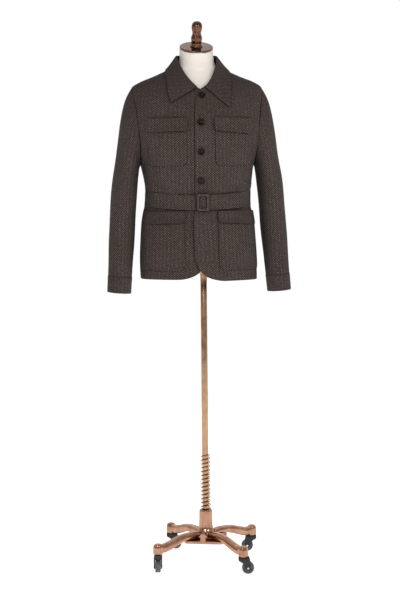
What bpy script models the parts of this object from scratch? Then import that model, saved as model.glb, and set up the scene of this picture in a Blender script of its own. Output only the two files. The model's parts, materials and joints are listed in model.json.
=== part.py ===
"""A belted jacket worn by a limbless dress form on a caster stand.

Metres, +Z up. The jacket faces -Y, so the wearer's left is +X.
The origin is on the floor under the middle of the jacket; the pole stands a little to the wearer's left.
"""
import math

import bmesh
import bpy
import numpy as np
from mathutils import Matrix, Vector

# Cloth walls and the gaps between pieces
CLOTH = 0.0020
PATCH_CLOTH = 0.0015
SEAM_GAP = 0.0003

# Heights of the jacket
FRONT_HEM = 0.959
BACK_HEM = 0.966
LEFT_DROP = 0.006
UNDERARM = 1.325
SHOULDER_TIP = 1.588
FRONT_NECK = 1.568
BACK_NECK = 1.640
NECK_POINT = 1.652
NECK_POINT_X = 0.072

# Outline of the jacket body from hem to neck
# Columns: height, half width, front depth, back depth, squareness
BODY_SECTIONS = (
    (0.940, 0.193, 0.132, 0.134, 2.20),
    (1.015, 0.194, 0.130, 0.133, 2.20),
    (1.075, 0.192, 0.127, 0.131, 2.20),
    (1.135, 0.188, 0.123, 0.126, 2.20),
    (1.175, 0.181, 0.119, 0.120, 2.20),
    (1.207, 0.173, 0.116, 0.115, 2.20),
    (1.256, 0.174, 0.120, 0.116, 2.20),
    (1.296, 0.178, 0.126, 0.121, 2.25),
    (1.325, 0.186, 0.129, 0.125, 2.30),
    (1.380, 0.205, 0.131, 0.129, 2.35),
    (1.440, 0.219, 0.129, 0.131, 2.40),
    (1.500, 0.224, 0.120, 0.128, 2.40),
    (1.550, 0.221, 0.104, 0.117, 2.30),
    (1.588, 0.213, 0.088, 0.101, 2.20),
    (1.610, 0.158, 0.0785, 0.089, 2.10),
    (1.634, 0.104, 0.071, 0.078, 2.00),
    (1.652, 0.072, 0.066, 0.070, 2.00),
    (1.668, 0.038, 0.060, 0.062, 2.00),
)

# Soft flutes that the cloth falls in, turned from the front centre to the wearer's left
# Columns: turn and spread in degrees, height, reach up and down, depth
BODY_FOLDS = (
    (62, 13, 0.950, 0.090, 0.0045),
    (118, 11, 0.950, 0.130, 0.0060),
    (152, 10, 0.955, 0.120, 0.0050),
    (-66, 13, 0.950, 0.085, 0.0040),
    (-112, 10, 0.950, 0.120, 0.0055),
    (-158, 12, 0.955, 0.130, 0.0050),
    (72, 10, 1.275, 0.030, 0.0035),
    (-70, 10, 1.278, 0.032, 0.0040),
    (140, 14, 1.270, 0.032, 0.0040),
    (-142, 14, 1.272, 0.030, 0.0045),
)

# Fronts
EDGE_PAST_CENTRE = 0.020
CORNER_WIDTH = 0.080
CORNER_HEIGHT = 0.085
FRONT_LEAN = 0.008
LEAN_ENDS = (1.47, 1.57)
LIFT_ENDS = (0.038, 0.085)
FRONT_LIFT = CLOTH + 0.0010
ARMHOLE_TURN = math.radians(30)
FRONT_NECKLINE = 0.56
BACK_NECKLINE = 0.52
PANEL_COLUMNS = 10
PANEL_SHARES = (0.0, 0.025, 0.08, 0.185, 0.33, 0.49, 0.60, 0.65, 0.70, 0.76, 0.86, 1.0)
UPPER_SHARES = (0.10, 0.20, 0.30, 0.41, 0.52, 0.62, 0.71, 0.79, 0.86, 0.92, 0.965, 1.0)

# Sleeves: one row for each ring of the hanging tube
# Columns: height, distance out, distance forward, half width, half depth
SLEEVE_RINGS = (
    (1.296, 0.2365, 0.000, 0.0430, 0.0640),
    (1.236, 0.2430, 0.001, 0.0430, 0.0610),
    (1.155, 0.2485, 0.004, 0.0435, 0.0580),
    (1.075, 0.2535, 0.012, 0.0420, 0.0545),
    (0.995, 0.2590, 0.023, 0.0405, 0.0510),
    (0.915, 0.2645, 0.036, 0.0392, 0.0480),
)
SLEEVE_LEAN = math.radians(4.5)
SLEEVE_SIDES = 18
CAP_RINGS = 6
CAP_LEAVE = (0.157, 0.0, -0.150)
CAP_ARRIVE = (-0.092, 0.0, 0.367)
TUBE_HEIGHTS = (1.296, 1.250, 1.200, 1.150, 1.100, 1.050, 1.008, 0.968)
CUFF_HEIGHTS = (0.9676, 0.942, 0.915)
CUFF_PROUD = 0.0010

# Collar: one row for each station from the centre back to the front end
# Columns: share of the way, then x, y, z of the neck seam, of the roll and of the fall's edge
COLLAR_STATIONS = (
    (0.00, 0.0000, 0.0752, 1.6412, 0.0000, 0.0680, 1.6900, 0.0000, 0.0920, 1.6360),
    (0.28, 0.0520, 0.0600, 1.6452, 0.0450, 0.0500, 1.6885, 0.0740, 0.0660, 1.6370),
    (0.52, 0.0720, 0.0000, 1.6534, 0.0645, -0.0020, 1.6835, 0.1010, 0.0000, 1.6380),
    (0.64, 0.0690, -0.0535, 1.6340, 0.0620, -0.0320, 1.6680, 0.1045, -0.0490, 1.6190),
    (0.76, 0.0600, -0.0730, 1.6120, 0.0556, -0.0570, 1.6450, 0.1030, -0.0700, 1.5960),
    (0.88, 0.0360, -0.0880, 1.5890, 0.0408, -0.0800, 1.6110, 0.1005, -0.0860, 1.5590),
    (1.00, 0.0130, -0.0955, 1.5755, 0.0145, -0.1005, 1.5780, 0.0930, -0.1030, 1.5155),
)
COLLAR_UNEVEN = (0.76, 1.0)
COLLAR_SHIFT = 0.004
COLLAR_DROP = 0.0085
COLLAR_STEPS = 22
COLLAR_CLEAR = 0.0038
COLLAR_FOLD = 0.0023
COLLAR_FALL = (0.30, 0.65, 1.0)

# Patch pockets and flaps: edges across the front, heights and corner radii
# Columns: name, inner x, outer x, or else outer turn in degrees, bottom, top, corner radius, slant, layer
PATCHES = (
    ("chest_pocket", 0.046, 0.165, None, 1.325, 1.466, 0.014, 0.0, 0),
    ("chest_flap", 0.043, 0.170, None, 1.435, 1.477, 0.011, 0.006, 1),
    ("lower_pocket", 0.056, None, 78, 0.988, 1.168, 0.018, 0.0, 0),
    ("lower_flap", 0.053, None, 80, 1.140, 1.179, 0.012, 0.004, 1),
)
SLANT_UNEVEN = 0.5
PATCH_SPANS = 6
PATCH_GAP = 0.0015
FLAP_GAP = 0.0012
CORNER_SHARES = (0.0, 0.3, 1.0)
PATCH_ROW = 0.045

# Belt and buckle
BELT_CENTRE = 1.207
BELT_WIDTH = 0.050
BELT_SIDE_RISE = 0.013
BELT_LAYER_GAP = 0.0012
BELT_STEPS = 40
BELT_ROWS = (-1.0, 0.0, 1.0)
BELT_END_START = math.radians(-3.8)
BELT_END_STEPS = 5
BELT_END_TIP = math.radians(4)
# Rounded tip columns: share of the tip's length, share of the half width
BELT_TIP = ((0.5, 0.90), (0.85, 0.66), (1.0, 0.47))
BUCKLE_X = 0.0045
BUCKLE_WIDTH = 0.039
BUCKLE_HEIGHT = 0.057
BUCKLE_BAR = 0.0075
BUCKLE_THICK = 0.0040
BUCKLE_SPANS = 4
BUCKLE_GAP = 0.0009
BUCKLE_ROUND = 0.0010

# Buttons down the front
# Columns: distance to the wearer's left, height
BUTTON_PLACES = ((0.006, 1.549), (0.0, 1.463), (0.0, 1.369), (0.0, 1.277))
BUTTON_RADIUS = 0.0105
BUTTON_THICK = 0.0036
BUTTON_SIDES = 14
# Button profile columns: share of the radius, share of the thickness
BUTTON_PROFILE = ((0.55, 0.62), (0.70, 0.66), (0.80, 1.0), (0.92, 1.0), (1.0, 0.70), (0.94, 0.0))

# Dress form
FORM_BOTTOM = 0.985
FORM_SIDE_CLEAR = 0.009
FORM_TOP_DROP = 0.0037
FORM_SHOULDER = 0.202
FORM_RIDGE = 0.012
FORM_RIDGE_SIDE = 0.75
FORM_SHOULDER_RISE = (1.54, 1.60)
FORM_SIDES = 40
FORM_HEIGHTS = (
    0.985, 1.04, 1.12, 1.19, 1.25, 1.31, 1.38, 1.45, 1.51, 1.55, 1.575, 1.590, 1.604, 1.618, 1.632,
)
# Neck columns: height, half width, half depth
NECK_RINGS = (
    (1.643, 0.073, 0.063), (1.652, 0.062, 0.059), (1.668, 0.0565, 0.0560), (1.690, 0.0550, 0.0550),
)
NECK_TOP = 1.7080
NECK_TOP_RADIUS = 0.0550
NECK_TILT = math.radians(23)
# Neck plate and finial columns: radius, height above the neck
NECK_PLATE_PROFILE = ((0.0530, 0.0067), (0.0550, 0.0052), (0.0550, 0.0013), (0.0540, 0.0003))
NECK_PLATE_SIDES = 36
FINIAL_PROFILE = (
    (0.0050, 0.0900), (0.0115, 0.0880), (0.0162, 0.0822), (0.0182, 0.0735), (0.0176, 0.0650),
    (0.0156, 0.0580), (0.0144, 0.0530), (0.0144, 0.0480), (0.0158, 0.0440), (0.0180, 0.0390),
    (0.0190, 0.0335), (0.0182, 0.0275), (0.0170, 0.0215), (0.0170, 0.0150), (0.0185, 0.0110),
    (0.0216, 0.0090), (0.0216, 0.0070),
)
FINIAL_SIDES = 20

# Pole, spring and hub
POLE_RADIUS = 0.0110
POLE_BOTTOM = 0.085
BORE_CLEAR = 0.0004
# Pole collar columns: radius, distance below the form
POLE_COLLAR_PROFILE = ((0.030, 0.0), (0.030, 0.004), (0.018, 0.006), (0.018, 0.013), (0.017, 0.014))
TURNED_SIDES = 24
SPRING_RADIUS = 0.0155
SPRING_WIRE = 0.0020
SPRING_TURNS = 14
SPRING_STEPS = 10
SPRING_TOP = 0.365
HUB_PROFILE = (
    (0.0190, 0.1760), (0.0218, 0.1740), (0.0226, 0.1700), (0.0226, 0.1200),
    (0.0245, 0.1110), (0.0300, 0.1050), (0.0300, 0.0815),
)

# Base, which stands to one side of the jacket's middle
STAND_X = 0.0172
BASE_TURN = math.radians(31.6)
CASTER_RING = 0.199
PLATE_SIDE = 0.122
PLATE_THICK = 0.0090
PLATE_TOP = 0.0812
PLATE_NIP = 0.006
HOLE_SIDES = 32
# Leg columns: reach, height, half width, half height
LEG_SECTIONS = (
    (0.0302, 0.0930, 0.0150, 0.0115),
    (0.0550, 0.0950, 0.0145, 0.0132),
    (0.0900, 0.0944, 0.0140, 0.0128),
    (0.1150, 0.0890, 0.0135, 0.0148),
    (0.1400, 0.0805, 0.0132, 0.0155),
    (0.1700, 0.0725, 0.0132, 0.0155),
    (0.1990, 0.0715, 0.0125, 0.0140),
)
LEG_SIDES = 10
LEG_SQUARENESS = 0.75
BOSS_PROFILE = (
    (0.0060, 0.0910), (0.0115, 0.0895), (0.0150, 0.0850),
    (0.0165, 0.0780), (0.0165, 0.0600), (0.0155, 0.0555),
)
BOSS_SIDES = 18
STEM_RADIUS = 0.0055
STEM_TOP = 0.0720
STEM_SIDES = 20

# Casters, one row for each leg in turn
WHEEL_RADIUS = 0.0200
WHEEL_SIDES = 18
# Wheel profile columns: radius, distance along the axle
WHEEL_PROFILE = (
    (0.0070, 0.0088), (0.0140, 0.0088), (0.0180, 0.0081), (WHEEL_RADIUS, 0.0058),
    (WHEEL_RADIUS, -0.0058), (0.0180, -0.0081), (0.0140, -0.0088), (0.0070, -0.0088),
)
AXLE_RADIUS = 0.0030
AXLE_HALF = 0.0145
PIN_SIDES = 16
FORK_HALF = 0.0135
FORK_INNER = 0.0096
FORK_TOP = 0.0552
FORK_UNDER = 0.0415
FORK_FOOT = 0.0120
FORK_NIP = 0.0040
# Fork side columns: distance along the trail, height
FORK_SIDE = (
    (-0.0155, 0.0560), (0.0185, 0.0560), (0.0230, 0.0430), (0.0235, 0.0160), (0.0200, 0.0110),
    (0.0110, 0.0110), (0.0065, 0.0180), (0.0015, 0.0340), (-0.0155, 0.0450),
)
TRAIL = 0.0155
TRAIL_TURNS = tuple(math.radians(turn) for turn in (174.3, 354.3, 264.3, 354.3))

# Pedal
PEDAL_TURN = BASE_TURN + math.radians(225)
PEDAL_PIN_REACH = 0.044
PEDAL_PIN_HEIGHT = 0.0945
PEDAL_PIN_RADIUS = 0.0022
PEDAL_HALF = 0.0045
PEDAL_ARM = (0.036, 0.0715)
PEDAL_ARM_HALF = 0.0058
PEDAL_FACE = (0.0705, 0.0755)
# Upright arrow columns: half width, height
PEDAL_OUTLINE = ((0.0085, 0.0760), (0.0085, 0.0985), (0.0145, 0.0985), (0.0, 0.1150))
EAR_HALF_GAP = 0.0066
EAR_THICK = 0.0040
EAR_TOP = 0.0990
EAR_HALF_DEPTH = 0.0050
BRACKET_FOOT = 0.0040
PIN_SHORT = 0.0010


# Turns a flat outline of (across, up) raised along Z into one that stands up along X
STAND_UP = Matrix(((0, 0, 1, 0), (1, 0, 0, 0), (0, 1, 0, 0), (0, 0, 0, 1)))
# Moves the stand from the jacket's middle to the pole's place
STAND = Matrix.Translation((STAND_X, 0, 0))


def linear(*srgb):
    """Turn display colour values from 0 to 255 into the linear values a shader takes."""
    return tuple((value / 255) ** 2.2 for value in srgb)


def principled(name, colour, roughness, metallic=0.0):
    """Make a plain material."""
    made = bpy.data.materials.new(name)
    made.use_nodes = True
    shader = made.node_tree.nodes["Principled BSDF"]
    shader.inputs["Base Color"].default_value = (*colour, 1.0)
    shader.inputs["Roughness"].default_value = roughness
    shader.inputs["Metallic"].default_value = metallic
    return made


WOOL = principled("wool", linear(70, 60, 57), 0.9)
BUTTON_HORN = principled("button", linear(34, 27, 25), 0.35)
FORM_COVER = principled("form_cover", linear(231, 225, 217), 0.85)
BRONZE = principled("bronze", linear(160, 122, 98), 0.3, 1.0)
CASTER_BLACK = principled("caster_black", linear(28, 28, 29), 0.5)


def add_mesh(name, points, faces, material, parent=None):
    """Make an object from world points, kept under its parent with its origin there."""
    shape = bmesh.new()
    made = [shape.verts.new(point) for point in points]
    for face in faces:
        shape.faces.new([made[index] for index in face])
    bmesh.ops.recalc_face_normals(shape, faces=shape.faces)
    mesh = bpy.data.meshes.new(name)
    piece = bpy.data.objects.new(name, mesh)
    bpy.context.collection.objects.link(piece)
    if parent:
        piece.parent = parent
        bmesh.ops.transform(shape, matrix=parent.matrix_world.inverted(), verts=shape.verts)
    shape.to_mesh(mesh)
    shape.free()
    mesh.materials.append(material)
    mesh.shade_smooth()
    mesh.set_sharp_from_angle(angle=math.radians(35))
    return piece


def add_empty(name, place, turn=0.0, parent=None):
    """Mark a joint's axis."""
    marker = bpy.data.objects.new(name, None)
    bpy.context.collection.objects.link(marker)
    world = Matrix.Translation(place) @ Matrix.Rotation(turn, 4, "Z")
    if parent:
        marker.parent = parent
        marker.matrix_local = parent.matrix_world.inverted() @ world
    else:
        marker.matrix_local = world
    bpy.context.view_layer.update()
    return marker


def combine(piece, other, operation):
    """Join another shape to a piece, or cut it out."""
    bpy.context.view_layer.update()
    change = piece.modifiers.new(operation.lower(), "BOOLEAN")
    change.operation = operation
    change.solver = "EXACT"
    change.object = other
    other.hide_render = True
    other.display_type = "WIRE"


def closed_loft(rings):
    """Give the points and faces of rings joined in order, with both ends filled."""
    sides = len(rings[0])
    points = [tuple(point) for ring in rings for point in ring]
    faces = [tuple(range(sides)), tuple(range(len(points) - sides, len(points)))]
    for row in range(len(rings) - 1):
        for side in range(sides):
            after = (side + 1) % sides
            low, high = row * sides, (row + 1) * sides
            faces.append((low + side, low + after, high + after, high + side))
    return points, faces


def turned(profile, sides, bore=0.0):
    """Give the points and faces of a profile turned round Z, with a bore through it where one is given."""
    angles = [2 * math.pi * side / sides for side in range(sides)]
    rows = list(profile)
    if bore:
        rows = rows + [(bore, profile[-1][1]), (bore, profile[0][1])]
    rings = [[(radius * math.cos(a), radius * math.sin(a), z) for a in angles] for radius, z in rows]
    points, faces = closed_loft(rings)
    if bore:
        faces = faces[2:]
        last = (len(rows) - 1) * sides
        for side in range(sides):
            after = (side + 1) % sides
            faces.append((last + side, last + after, after, side))
    return points, faces


def prism(outline, low, high):
    """Give the points and faces of a flat outline raised from one height to another."""
    return closed_loft([[(x, y, z) for x, y in outline] for z in (low, high)])


def placed(points, matrix):
    """Move points by a matrix."""
    return [tuple(matrix @ Vector(point)) for point in points]


def wall(name, outer, inner, material, ring=False):
    """Close two matching grids of points into one thin wall."""
    rows, columns = outer.shape[:2]
    count = rows * columns
    points = np.concatenate([outer.reshape(-1, 3), inner.reshape(-1, 3)])
    spans = columns if ring else columns - 1
    faces = []

    def at(layer, row, column):
        return layer * count + row * columns + column % columns

    for column in range(spans):
        after = column + 1
        for row in range(rows - 1):
            for layer in (0, 1):
                low = (at(layer, row, column), at(layer, row, after))
                high = (at(layer, row + 1, after), at(layer, row + 1, column))
                faces.append(low + high)
        for row in (0, rows - 1):
            faces.append((at(0, row, column), at(0, row, after), at(1, row, after), at(1, row, column)))
    if not ring:
        for row in range(rows - 1):
            for column in (0, columns - 1):
                low = (at(1, row, column), at(0, row, column))
                high = (at(0, row + 1, column), at(1, row + 1, column))
                faces.append(low + high)
    return add_mesh(name, [tuple(point) for point in points], faces, material)


class Table:
    """A table of sections read at any place between its rows, on smooth curves that don't overshoot."""

    def __init__(self, rows):
        data = np.array(sorted(rows))
        self.keys = data[:, 0]
        self.values = data[:, 1:]
        steps = np.diff(self.keys)[:, None]
        rates = np.diff(self.values, axis=0) / steps
        self.slopes = np.zeros_like(self.values)
        same_way = rates[:-1] * rates[1:] > 0
        total = np.where(same_way, rates[:-1] + rates[1:], 1.0)
        self.slopes[1:-1] = np.where(same_way, 2 * rates[:-1] * rates[1:] / total, 0.0)
        self.slopes[0] = rates[0]
        self.slopes[-1] = rates[-1]

    def at(self, key):
        key = min(max(key, self.keys[0]), self.keys[-1])
        row = min(int(np.searchsorted(self.keys, key, side="right")) - 1, len(self.keys) - 2)
        step = self.keys[row + 1] - self.keys[row]
        s = (key - self.keys[row]) / step
        return (
            (1 + 2 * s) * (1 - s) ** 2 * self.values[row]
            + s * (1 - s) ** 2 * step * self.slopes[row]
            + s * s * (3 - 2 * s) * self.values[row + 1]
            + s * s * (s - 1) * step * self.slopes[row + 1]
        )


BODY = Table(BODY_SECTIONS)
SLEEVE = Table(SLEEVE_RINGS)
COLLAR = Table(COLLAR_STATIONS)


def smooth(low, high, value):
    """Ease from 0 to 1 between two values."""
    share = min(max((value - low) / (high - low), 0.0), 1.0)
    return share * share * (3 - 2 * share)


def signed_power(value, power):
    """Raise a size to a power and keep its sign."""
    return math.copysign(abs(value) ** power, value)


def body_field(point):
    """Tell how far a point is out through the jacket body's outline: 0 on it, above 0 outside."""
    x, y, z = point
    half_width, front, back, squareness = BODY.at(z)
    depth = front if y < 0 else back
    return (abs(x) / half_width) ** squareness + (abs(y) / depth) ** squareness - 1


def body_slope(point):
    """Give the gradient of the body's outline at a point."""
    step = 0.0002
    slope = []
    for axis in range(3):
        shift = np.zeros(3)
        shift[axis] = step
        slope.append((body_field(point + shift) - body_field(point - shift)) / (2 * step))
    return np.array(slope)


def fold_depth(turn, z):
    """Give how far the cloth stands out in its flutes."""
    total = 0.0
    for fold_turn, spread, height, reach, depth in BODY_FOLDS:
        away = (math.degrees(turn) - fold_turn + 180) % 360 - 180
        total += depth * math.exp(-((away / spread) ** 2) - ((z - height) / reach) ** 2)
    return total


def body_point(turn, z, out=0.0):
    """Give the point of the jacket body at a turn from the front centre, moved out along its normal."""
    half_width, front, back, squareness = BODY.at(z)
    x = half_width * signed_power(math.sin(turn), 2 / squareness)
    depth = front if math.cos(turn) > 0 else back
    y = -depth * signed_power(math.cos(turn), 2 / squareness)
    point = np.array((x, y, z))
    slope = body_slope(point)
    return point + slope / np.linalg.norm(slope) * (out + fold_depth(turn, z))


def turn_at(x, z):
    """Give the turn at which the body's section reaches a distance from the centre line."""
    half_width, _, _, squareness = BODY.at(z)
    share = min(abs(x) / half_width, 1.0)
    return math.copysign(math.asin(share ** (squareness / 2)), x)


def side_turn(z, face):
    """Give the turn of a panel's side edge, just short of the side seam."""
    _, front, back, squareness = BODY.at(z)
    depth = front if face == "front" else back
    return math.pi / 2 - (SEAM_GAP / 2 / depth) ** (squareness / 2)


def armhole_at(share):
    """Give the armhole's turn back from the side, and its height, from underarm 0 to shoulder tip 1."""
    angle = math.pi * share
    height = (UNDERARM + SHOULDER_TIP) / 2 - (SHOULDER_TIP - UNDERARM) / 2 * math.cos(angle)
    return ARMHOLE_TURN * math.sin(angle), height


def front_lift(side, x):
    """Give how far the over front stands off the under one."""
    if side < 0:
        return 0.0
    return FRONT_LIFT * (1 - smooth(*LIFT_ENDS, x))


def hem_height(side):
    """Give the front hem's height, a little lower on the wearer's left."""
    return FRONT_HEM - LEFT_DROP if side > 0 else FRONT_HEM


def front_edge(side, z):
    """Give the front edge's distance past the centre, with the rounded lower corner."""
    rise = min(max((hem_height(side) + CORNER_HEIGHT - z) / CORNER_HEIGHT, 0.0), 1.0)
    lean = FRONT_LEAN * smooth(*LEAN_ENDS, z) if side > 0 else 0.0
    return lean - EDGE_PAST_CENTRE + CORNER_WIDTH * (1 - math.sqrt(1 - rise * rise))


def panel_rows(side, face):
    """Give each row of a panel as its inner turn and height and its outer turn and height."""
    rows = []
    side_hem = hem_height(side)
    hem = side_hem if face == "front" else BACK_HEM
    neck = FRONT_NECK if face == "front" else BACK_NECK
    neckline = FRONT_NECKLINE if face == "front" else BACK_NECKLINE
    for share in PANEL_SHARES:
        inner_z = hem + (UNDERARM - hem) * share
        outer_z = side_hem + (UNDERARM - side_hem) * share
        inner_x = front_edge(side, inner_z) if face == "front" else SEAM_GAP / 2
        rows.append((turn_at(inner_x, inner_z), inner_z, side_turn(outer_z, face), outer_z))
    for share in UPPER_SHARES:
        back_from_side, outer_z = armhole_at(share)
        if share <= neckline:
            inner_z = UNDERARM + (neck - UNDERARM) * share / neckline
            inner_x = front_edge(side, inner_z) if face == "front" else SEAM_GAP / 2
        else:
            angle = (share - neckline) / (1 - neckline) * math.pi / 2
            start_x = front_edge(side, neck) if face == "front" else SEAM_GAP / 2
            inner_x = start_x + (NECK_POINT_X - start_x) * math.sin(angle)
            inner_z = neck + (NECK_POINT - neck) * (1 - math.cos(angle))
        inner_turn = min(turn_at(inner_x, inner_z), side_turn(inner_z, face))
        outer_turn = min(math.pi / 2 - back_from_side, side_turn(outer_z, face))
        rows.append((inner_turn, inner_z, outer_turn, outer_z))
    return rows


def panel_grid(side, face, out):
    """Give a front or back panel's points, moved out by a distance."""
    grid = []
    for inner_turn, inner_z, outer_turn, outer_z in panel_rows(side, face):
        row = []
        for column in range(PANEL_COLUMNS + 1):
            share = column / PANEL_COLUMNS
            turn = inner_turn + (outer_turn - inner_turn) * share
            z = inner_z + (outer_z - inner_z) * share
            if face == "front":
                x = BODY.at(z)[0] * signed_power(math.sin(turn), 2 / BODY.at(z)[3])
                row.append(body_point(side * turn, z, out + front_lift(side, x)))
            else:
                row.append(body_point(side * (math.pi - turn), z, out))
        grid.append(row)
    return np.array(grid)


def make_panels():
    """Make both fronts and both backs."""
    for side, hand in ((1, "left"), (-1, "right")):
        for face in ("front", "back"):
            name = f"{face}_{hand}"
            wall(name, panel_grid(side, face, 0.0), panel_grid(side, face, -CLOTH), WOOL)


def sleeve_ring(z, proud=0.0):
    """Give one ring of the left sleeve's tube, from the inner side round by the front."""
    out, forward, half_width, half_depth = SLEEVE.at(z)
    ring = []
    for side in range(SLEEVE_SIDES):
        angle = 2 * math.pi * side / SLEEVE_SIDES
        across = -(half_width + proud) * math.cos(angle)
        along = -(half_depth + proud) * math.sin(angle)
        x = out + across * math.cos(SLEEVE_LEAN)
        ring.append((x, along - forward, z + across * math.sin(SLEEVE_LEAN)))
    return np.array(ring)


def armhole_ring():
    """Give the armhole's seam line round the left side, just outside the panels' edges."""
    ring = []
    for side in range(SLEEVE_SIDES):
        angle = 2 * math.pi * side / SLEEVE_SIDES
        share = angle / math.pi if angle <= math.pi else 2 - angle / math.pi
        back_from_side, z = armhole_at(share)
        turn = math.pi / 2 - math.copysign(back_from_side, math.pi - angle)
        ring.append(body_point(turn, z) + np.array((3 * SEAM_GAP, 0.0, 0.0)))
    return np.array(ring)


def wall_inner(outer, thickness):
    """Move a ring grid in along its own normals."""
    around = np.roll(outer, -1, axis=1) - np.roll(outer, 1, axis=1)
    along = np.gradient(outer, axis=0)
    normal = np.cross(around, along)
    normal /= np.linalg.norm(normal, axis=2)[..., None]
    centre = outer.mean(axis=1, keepdims=True)
    if np.sum(normal * (outer - centre)) < 0:
        normal = -normal
    return outer - normal * thickness


def mirrored(grid, side):
    """Turn the left sleeve's points to the given side."""
    return grid * np.array((side, 1.0, 1.0))


def make_sleeves():
    """Make each sleeve from its cap in the armhole down to the cuff seam, and its cuff."""
    start = armhole_ring()
    top = sleeve_ring(TUBE_HEIGHTS[0])
    reach = np.linalg.norm(top - start, axis=1)[:, None]
    leave = np.array(CAP_LEAVE) * reach
    arrive = np.array(CAP_ARRIVE) * reach
    rings = []
    for step in range(CAP_RINGS):
        s = step / CAP_RINGS
        rings.append(
            (1 - s) ** 3 * start
            + 3 * s * (1 - s) ** 2 * (start + leave)
            + 3 * s * s * (1 - s) * (top + arrive)
            + s ** 3 * top
        )
    rings += [sleeve_ring(z) for z in TUBE_HEIGHTS]
    sleeve = np.array(rings)
    cuff = np.array([sleeve_ring(z, CUFF_PROUD) for z in reversed(CUFF_HEIGHTS)])
    for grid, name in ((sleeve, "sleeve"), (cuff, "cuff")):
        inner = wall_inner(grid, CLOTH)
        for side, hand in ((1, "left"), (-1, "right")):
            wall(f"{name}_{hand}", mirrored(grid, side), mirrored(inner, side), WOOL, ring=True)


def clear_of_body(point, distance):
    """Push a point out until it stands off the body's outline by a distance."""
    for _ in range(4):
        slope = body_slope(point)
        size = np.linalg.norm(slope)
        short = distance - body_field(point) / size
        if short > 0:
            point = point + slope / size * short
    return point


def collar_column(share):
    """Give one line of the collar from its neck seam over the roll to the fall's edge."""
    side = math.copysign(1.0, share)
    station = COLLAR.at(abs(share))
    seam, roll, edge = (station[start:start + 3] * np.array((side, 1.0, 1.0)) for start in (0, 3, 6))
    uneven = smooth(*COLLAR_UNEVEN, abs(share))
    roll[0] += COLLAR_SHIFT * uneven
    edge[2] -= COLLAR_DROP * side * uneven
    radial = np.array((roll[0], roll[1], 0.0))
    radial /= np.linalg.norm(radial)
    drop = np.array((0.0, 0.0, COLLAR_FOLD))
    roll_in = roll - drop
    roll_out = roll + radial * 2 * COLLAR_FOLD - drop
    line = [seam, (seam + roll_in) / 2, roll_in, roll + radial * COLLAR_FOLD]
    line += [clear_of_body(roll_out, COLLAR_CLEAR)]
    line += [clear_of_body(roll_out + (edge - roll_out) * step, COLLAR_CLEAR) for step in COLLAR_FALL]
    return line


def make_collar():
    """Make the collar as one folded strip round the neck."""
    shares = [2 * step / COLLAR_STEPS - 1 for step in range(COLLAR_STEPS + 1)]
    under = np.array([collar_column(share) for share in shares])
    along = np.gradient(under, axis=0)
    across = np.gradient(under, axis=1)
    normal = np.cross(along, across)
    normal /= np.linalg.norm(normal, axis=2)[..., None]
    if normal[COLLAR_STEPS // 2, -1][1] < 0:
        normal = -normal
    wall("collar", under + normal * PATCH_CLOTH, under, WOOL)


def patch_grid(side, row, out):
    """Give a patch's points on the front, with its lower corners rounded."""
    _, inner_x, outer_x, outer_turn, bottom, top, radius, slant, _ = row
    heights = [bottom + radius * share for share in CORNER_SHARES]
    rest = max(1, round((top - heights[-1]) / PATCH_ROW))
    heights += [heights[-1] + (top - heights[-1]) * step / rest for step in range(1, rest + 1)]
    grid = []
    for z in heights:
        rise = min((z - bottom) / radius, 1.0)
        pull = radius * (1 - math.sqrt(1 - (1 - rise) ** 2))
        start = turn_at(inner_x + pull, z)
        if outer_turn:
            end = math.radians(outer_turn) - pull / BODY.at(z)[1]
        else:
            end = turn_at(outer_x - pull, z)
        line = []
        for span in range(PATCH_SPANS + 1):
            turn = start + (end - start) * span / PATCH_SPANS
            x = BODY.at(z)[0] * signed_power(math.sin(turn), 2 / BODY.at(z)[3])
            dip = slant * (1 + SLANT_UNEVEN * side) * span / PATCH_SPANS * (top - z) / (top - bottom)
            line.append(body_point(side * turn, z - dip, out + front_lift(side, x)))
        grid.append(line)
    return np.array(grid)


def make_patches():
    """Make the four patch pockets and their flaps."""
    for row in PATCHES:
        under = PATCH_GAP + row[-1] * (PATCH_CLOTH + FLAP_GAP)
        for side, hand in ((1, "left"), (-1, "right")):
            over = patch_grid(side, row, under + PATCH_CLOTH)
            wall(f"{row[0]}_{hand}", over, patch_grid(side, row, under), WOOL)


def belt_height(turn):
    """Give the height of the belt's middle, a little higher at the sides."""
    return BELT_CENTRE + BELT_SIDE_RISE * math.sin(turn) ** 2


def belt_lift(turn, z):
    """Give how far the belt stands off the body to pass over the lapped fronts."""
    if math.cos(turn) <= 0:
        return 0.0
    half_width, _, _, squareness = BODY.at(z)
    return front_lift(1, half_width * abs(math.sin(turn)) ** (2 / squareness))


def belt_grid(turns, out, half_widths):
    """Give a stretch of belt from its lower to its upper edge."""
    grid = []
    for share in BELT_ROWS:
        line = []
        for turn, half in zip(turns, half_widths):
            z = belt_height(turn) + share * half
            line.append(body_point(turn, z, out + belt_lift(turn, z)))
        grid.append(line)
    return np.array(grid)


def make_belt():
    """Make the belt round the waist, its free end on top of it and the buckle over both."""
    turns = [2 * math.pi * step / BELT_STEPS for step in range(BELT_STEPS)]
    halves = [BELT_WIDTH / 2] * BELT_STEPS
    over = BELT_LAYER_GAP + CLOTH
    wall("belt", belt_grid(turns, over, halves), belt_grid(turns, BELT_LAYER_GAP, halves), WOOL, ring=True)
    turns = [BELT_END_START] + turns[:BELT_END_STEPS + 1]
    halves = halves[:len(turns)]
    straight = turns[-1]
    for share, narrow in BELT_TIP:
        turns.append(straight + BELT_END_TIP * share)
        halves.append(BELT_WIDTH / 2 * narrow)
    end_in = over + BELT_LAYER_GAP
    end_out = end_in + CLOTH
    wall("belt_end", belt_grid(turns, end_out, halves), belt_grid(turns, end_in, halves), WOOL)
    make_buckle(FRONT_LIFT + end_out + BUCKLE_GAP)


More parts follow.
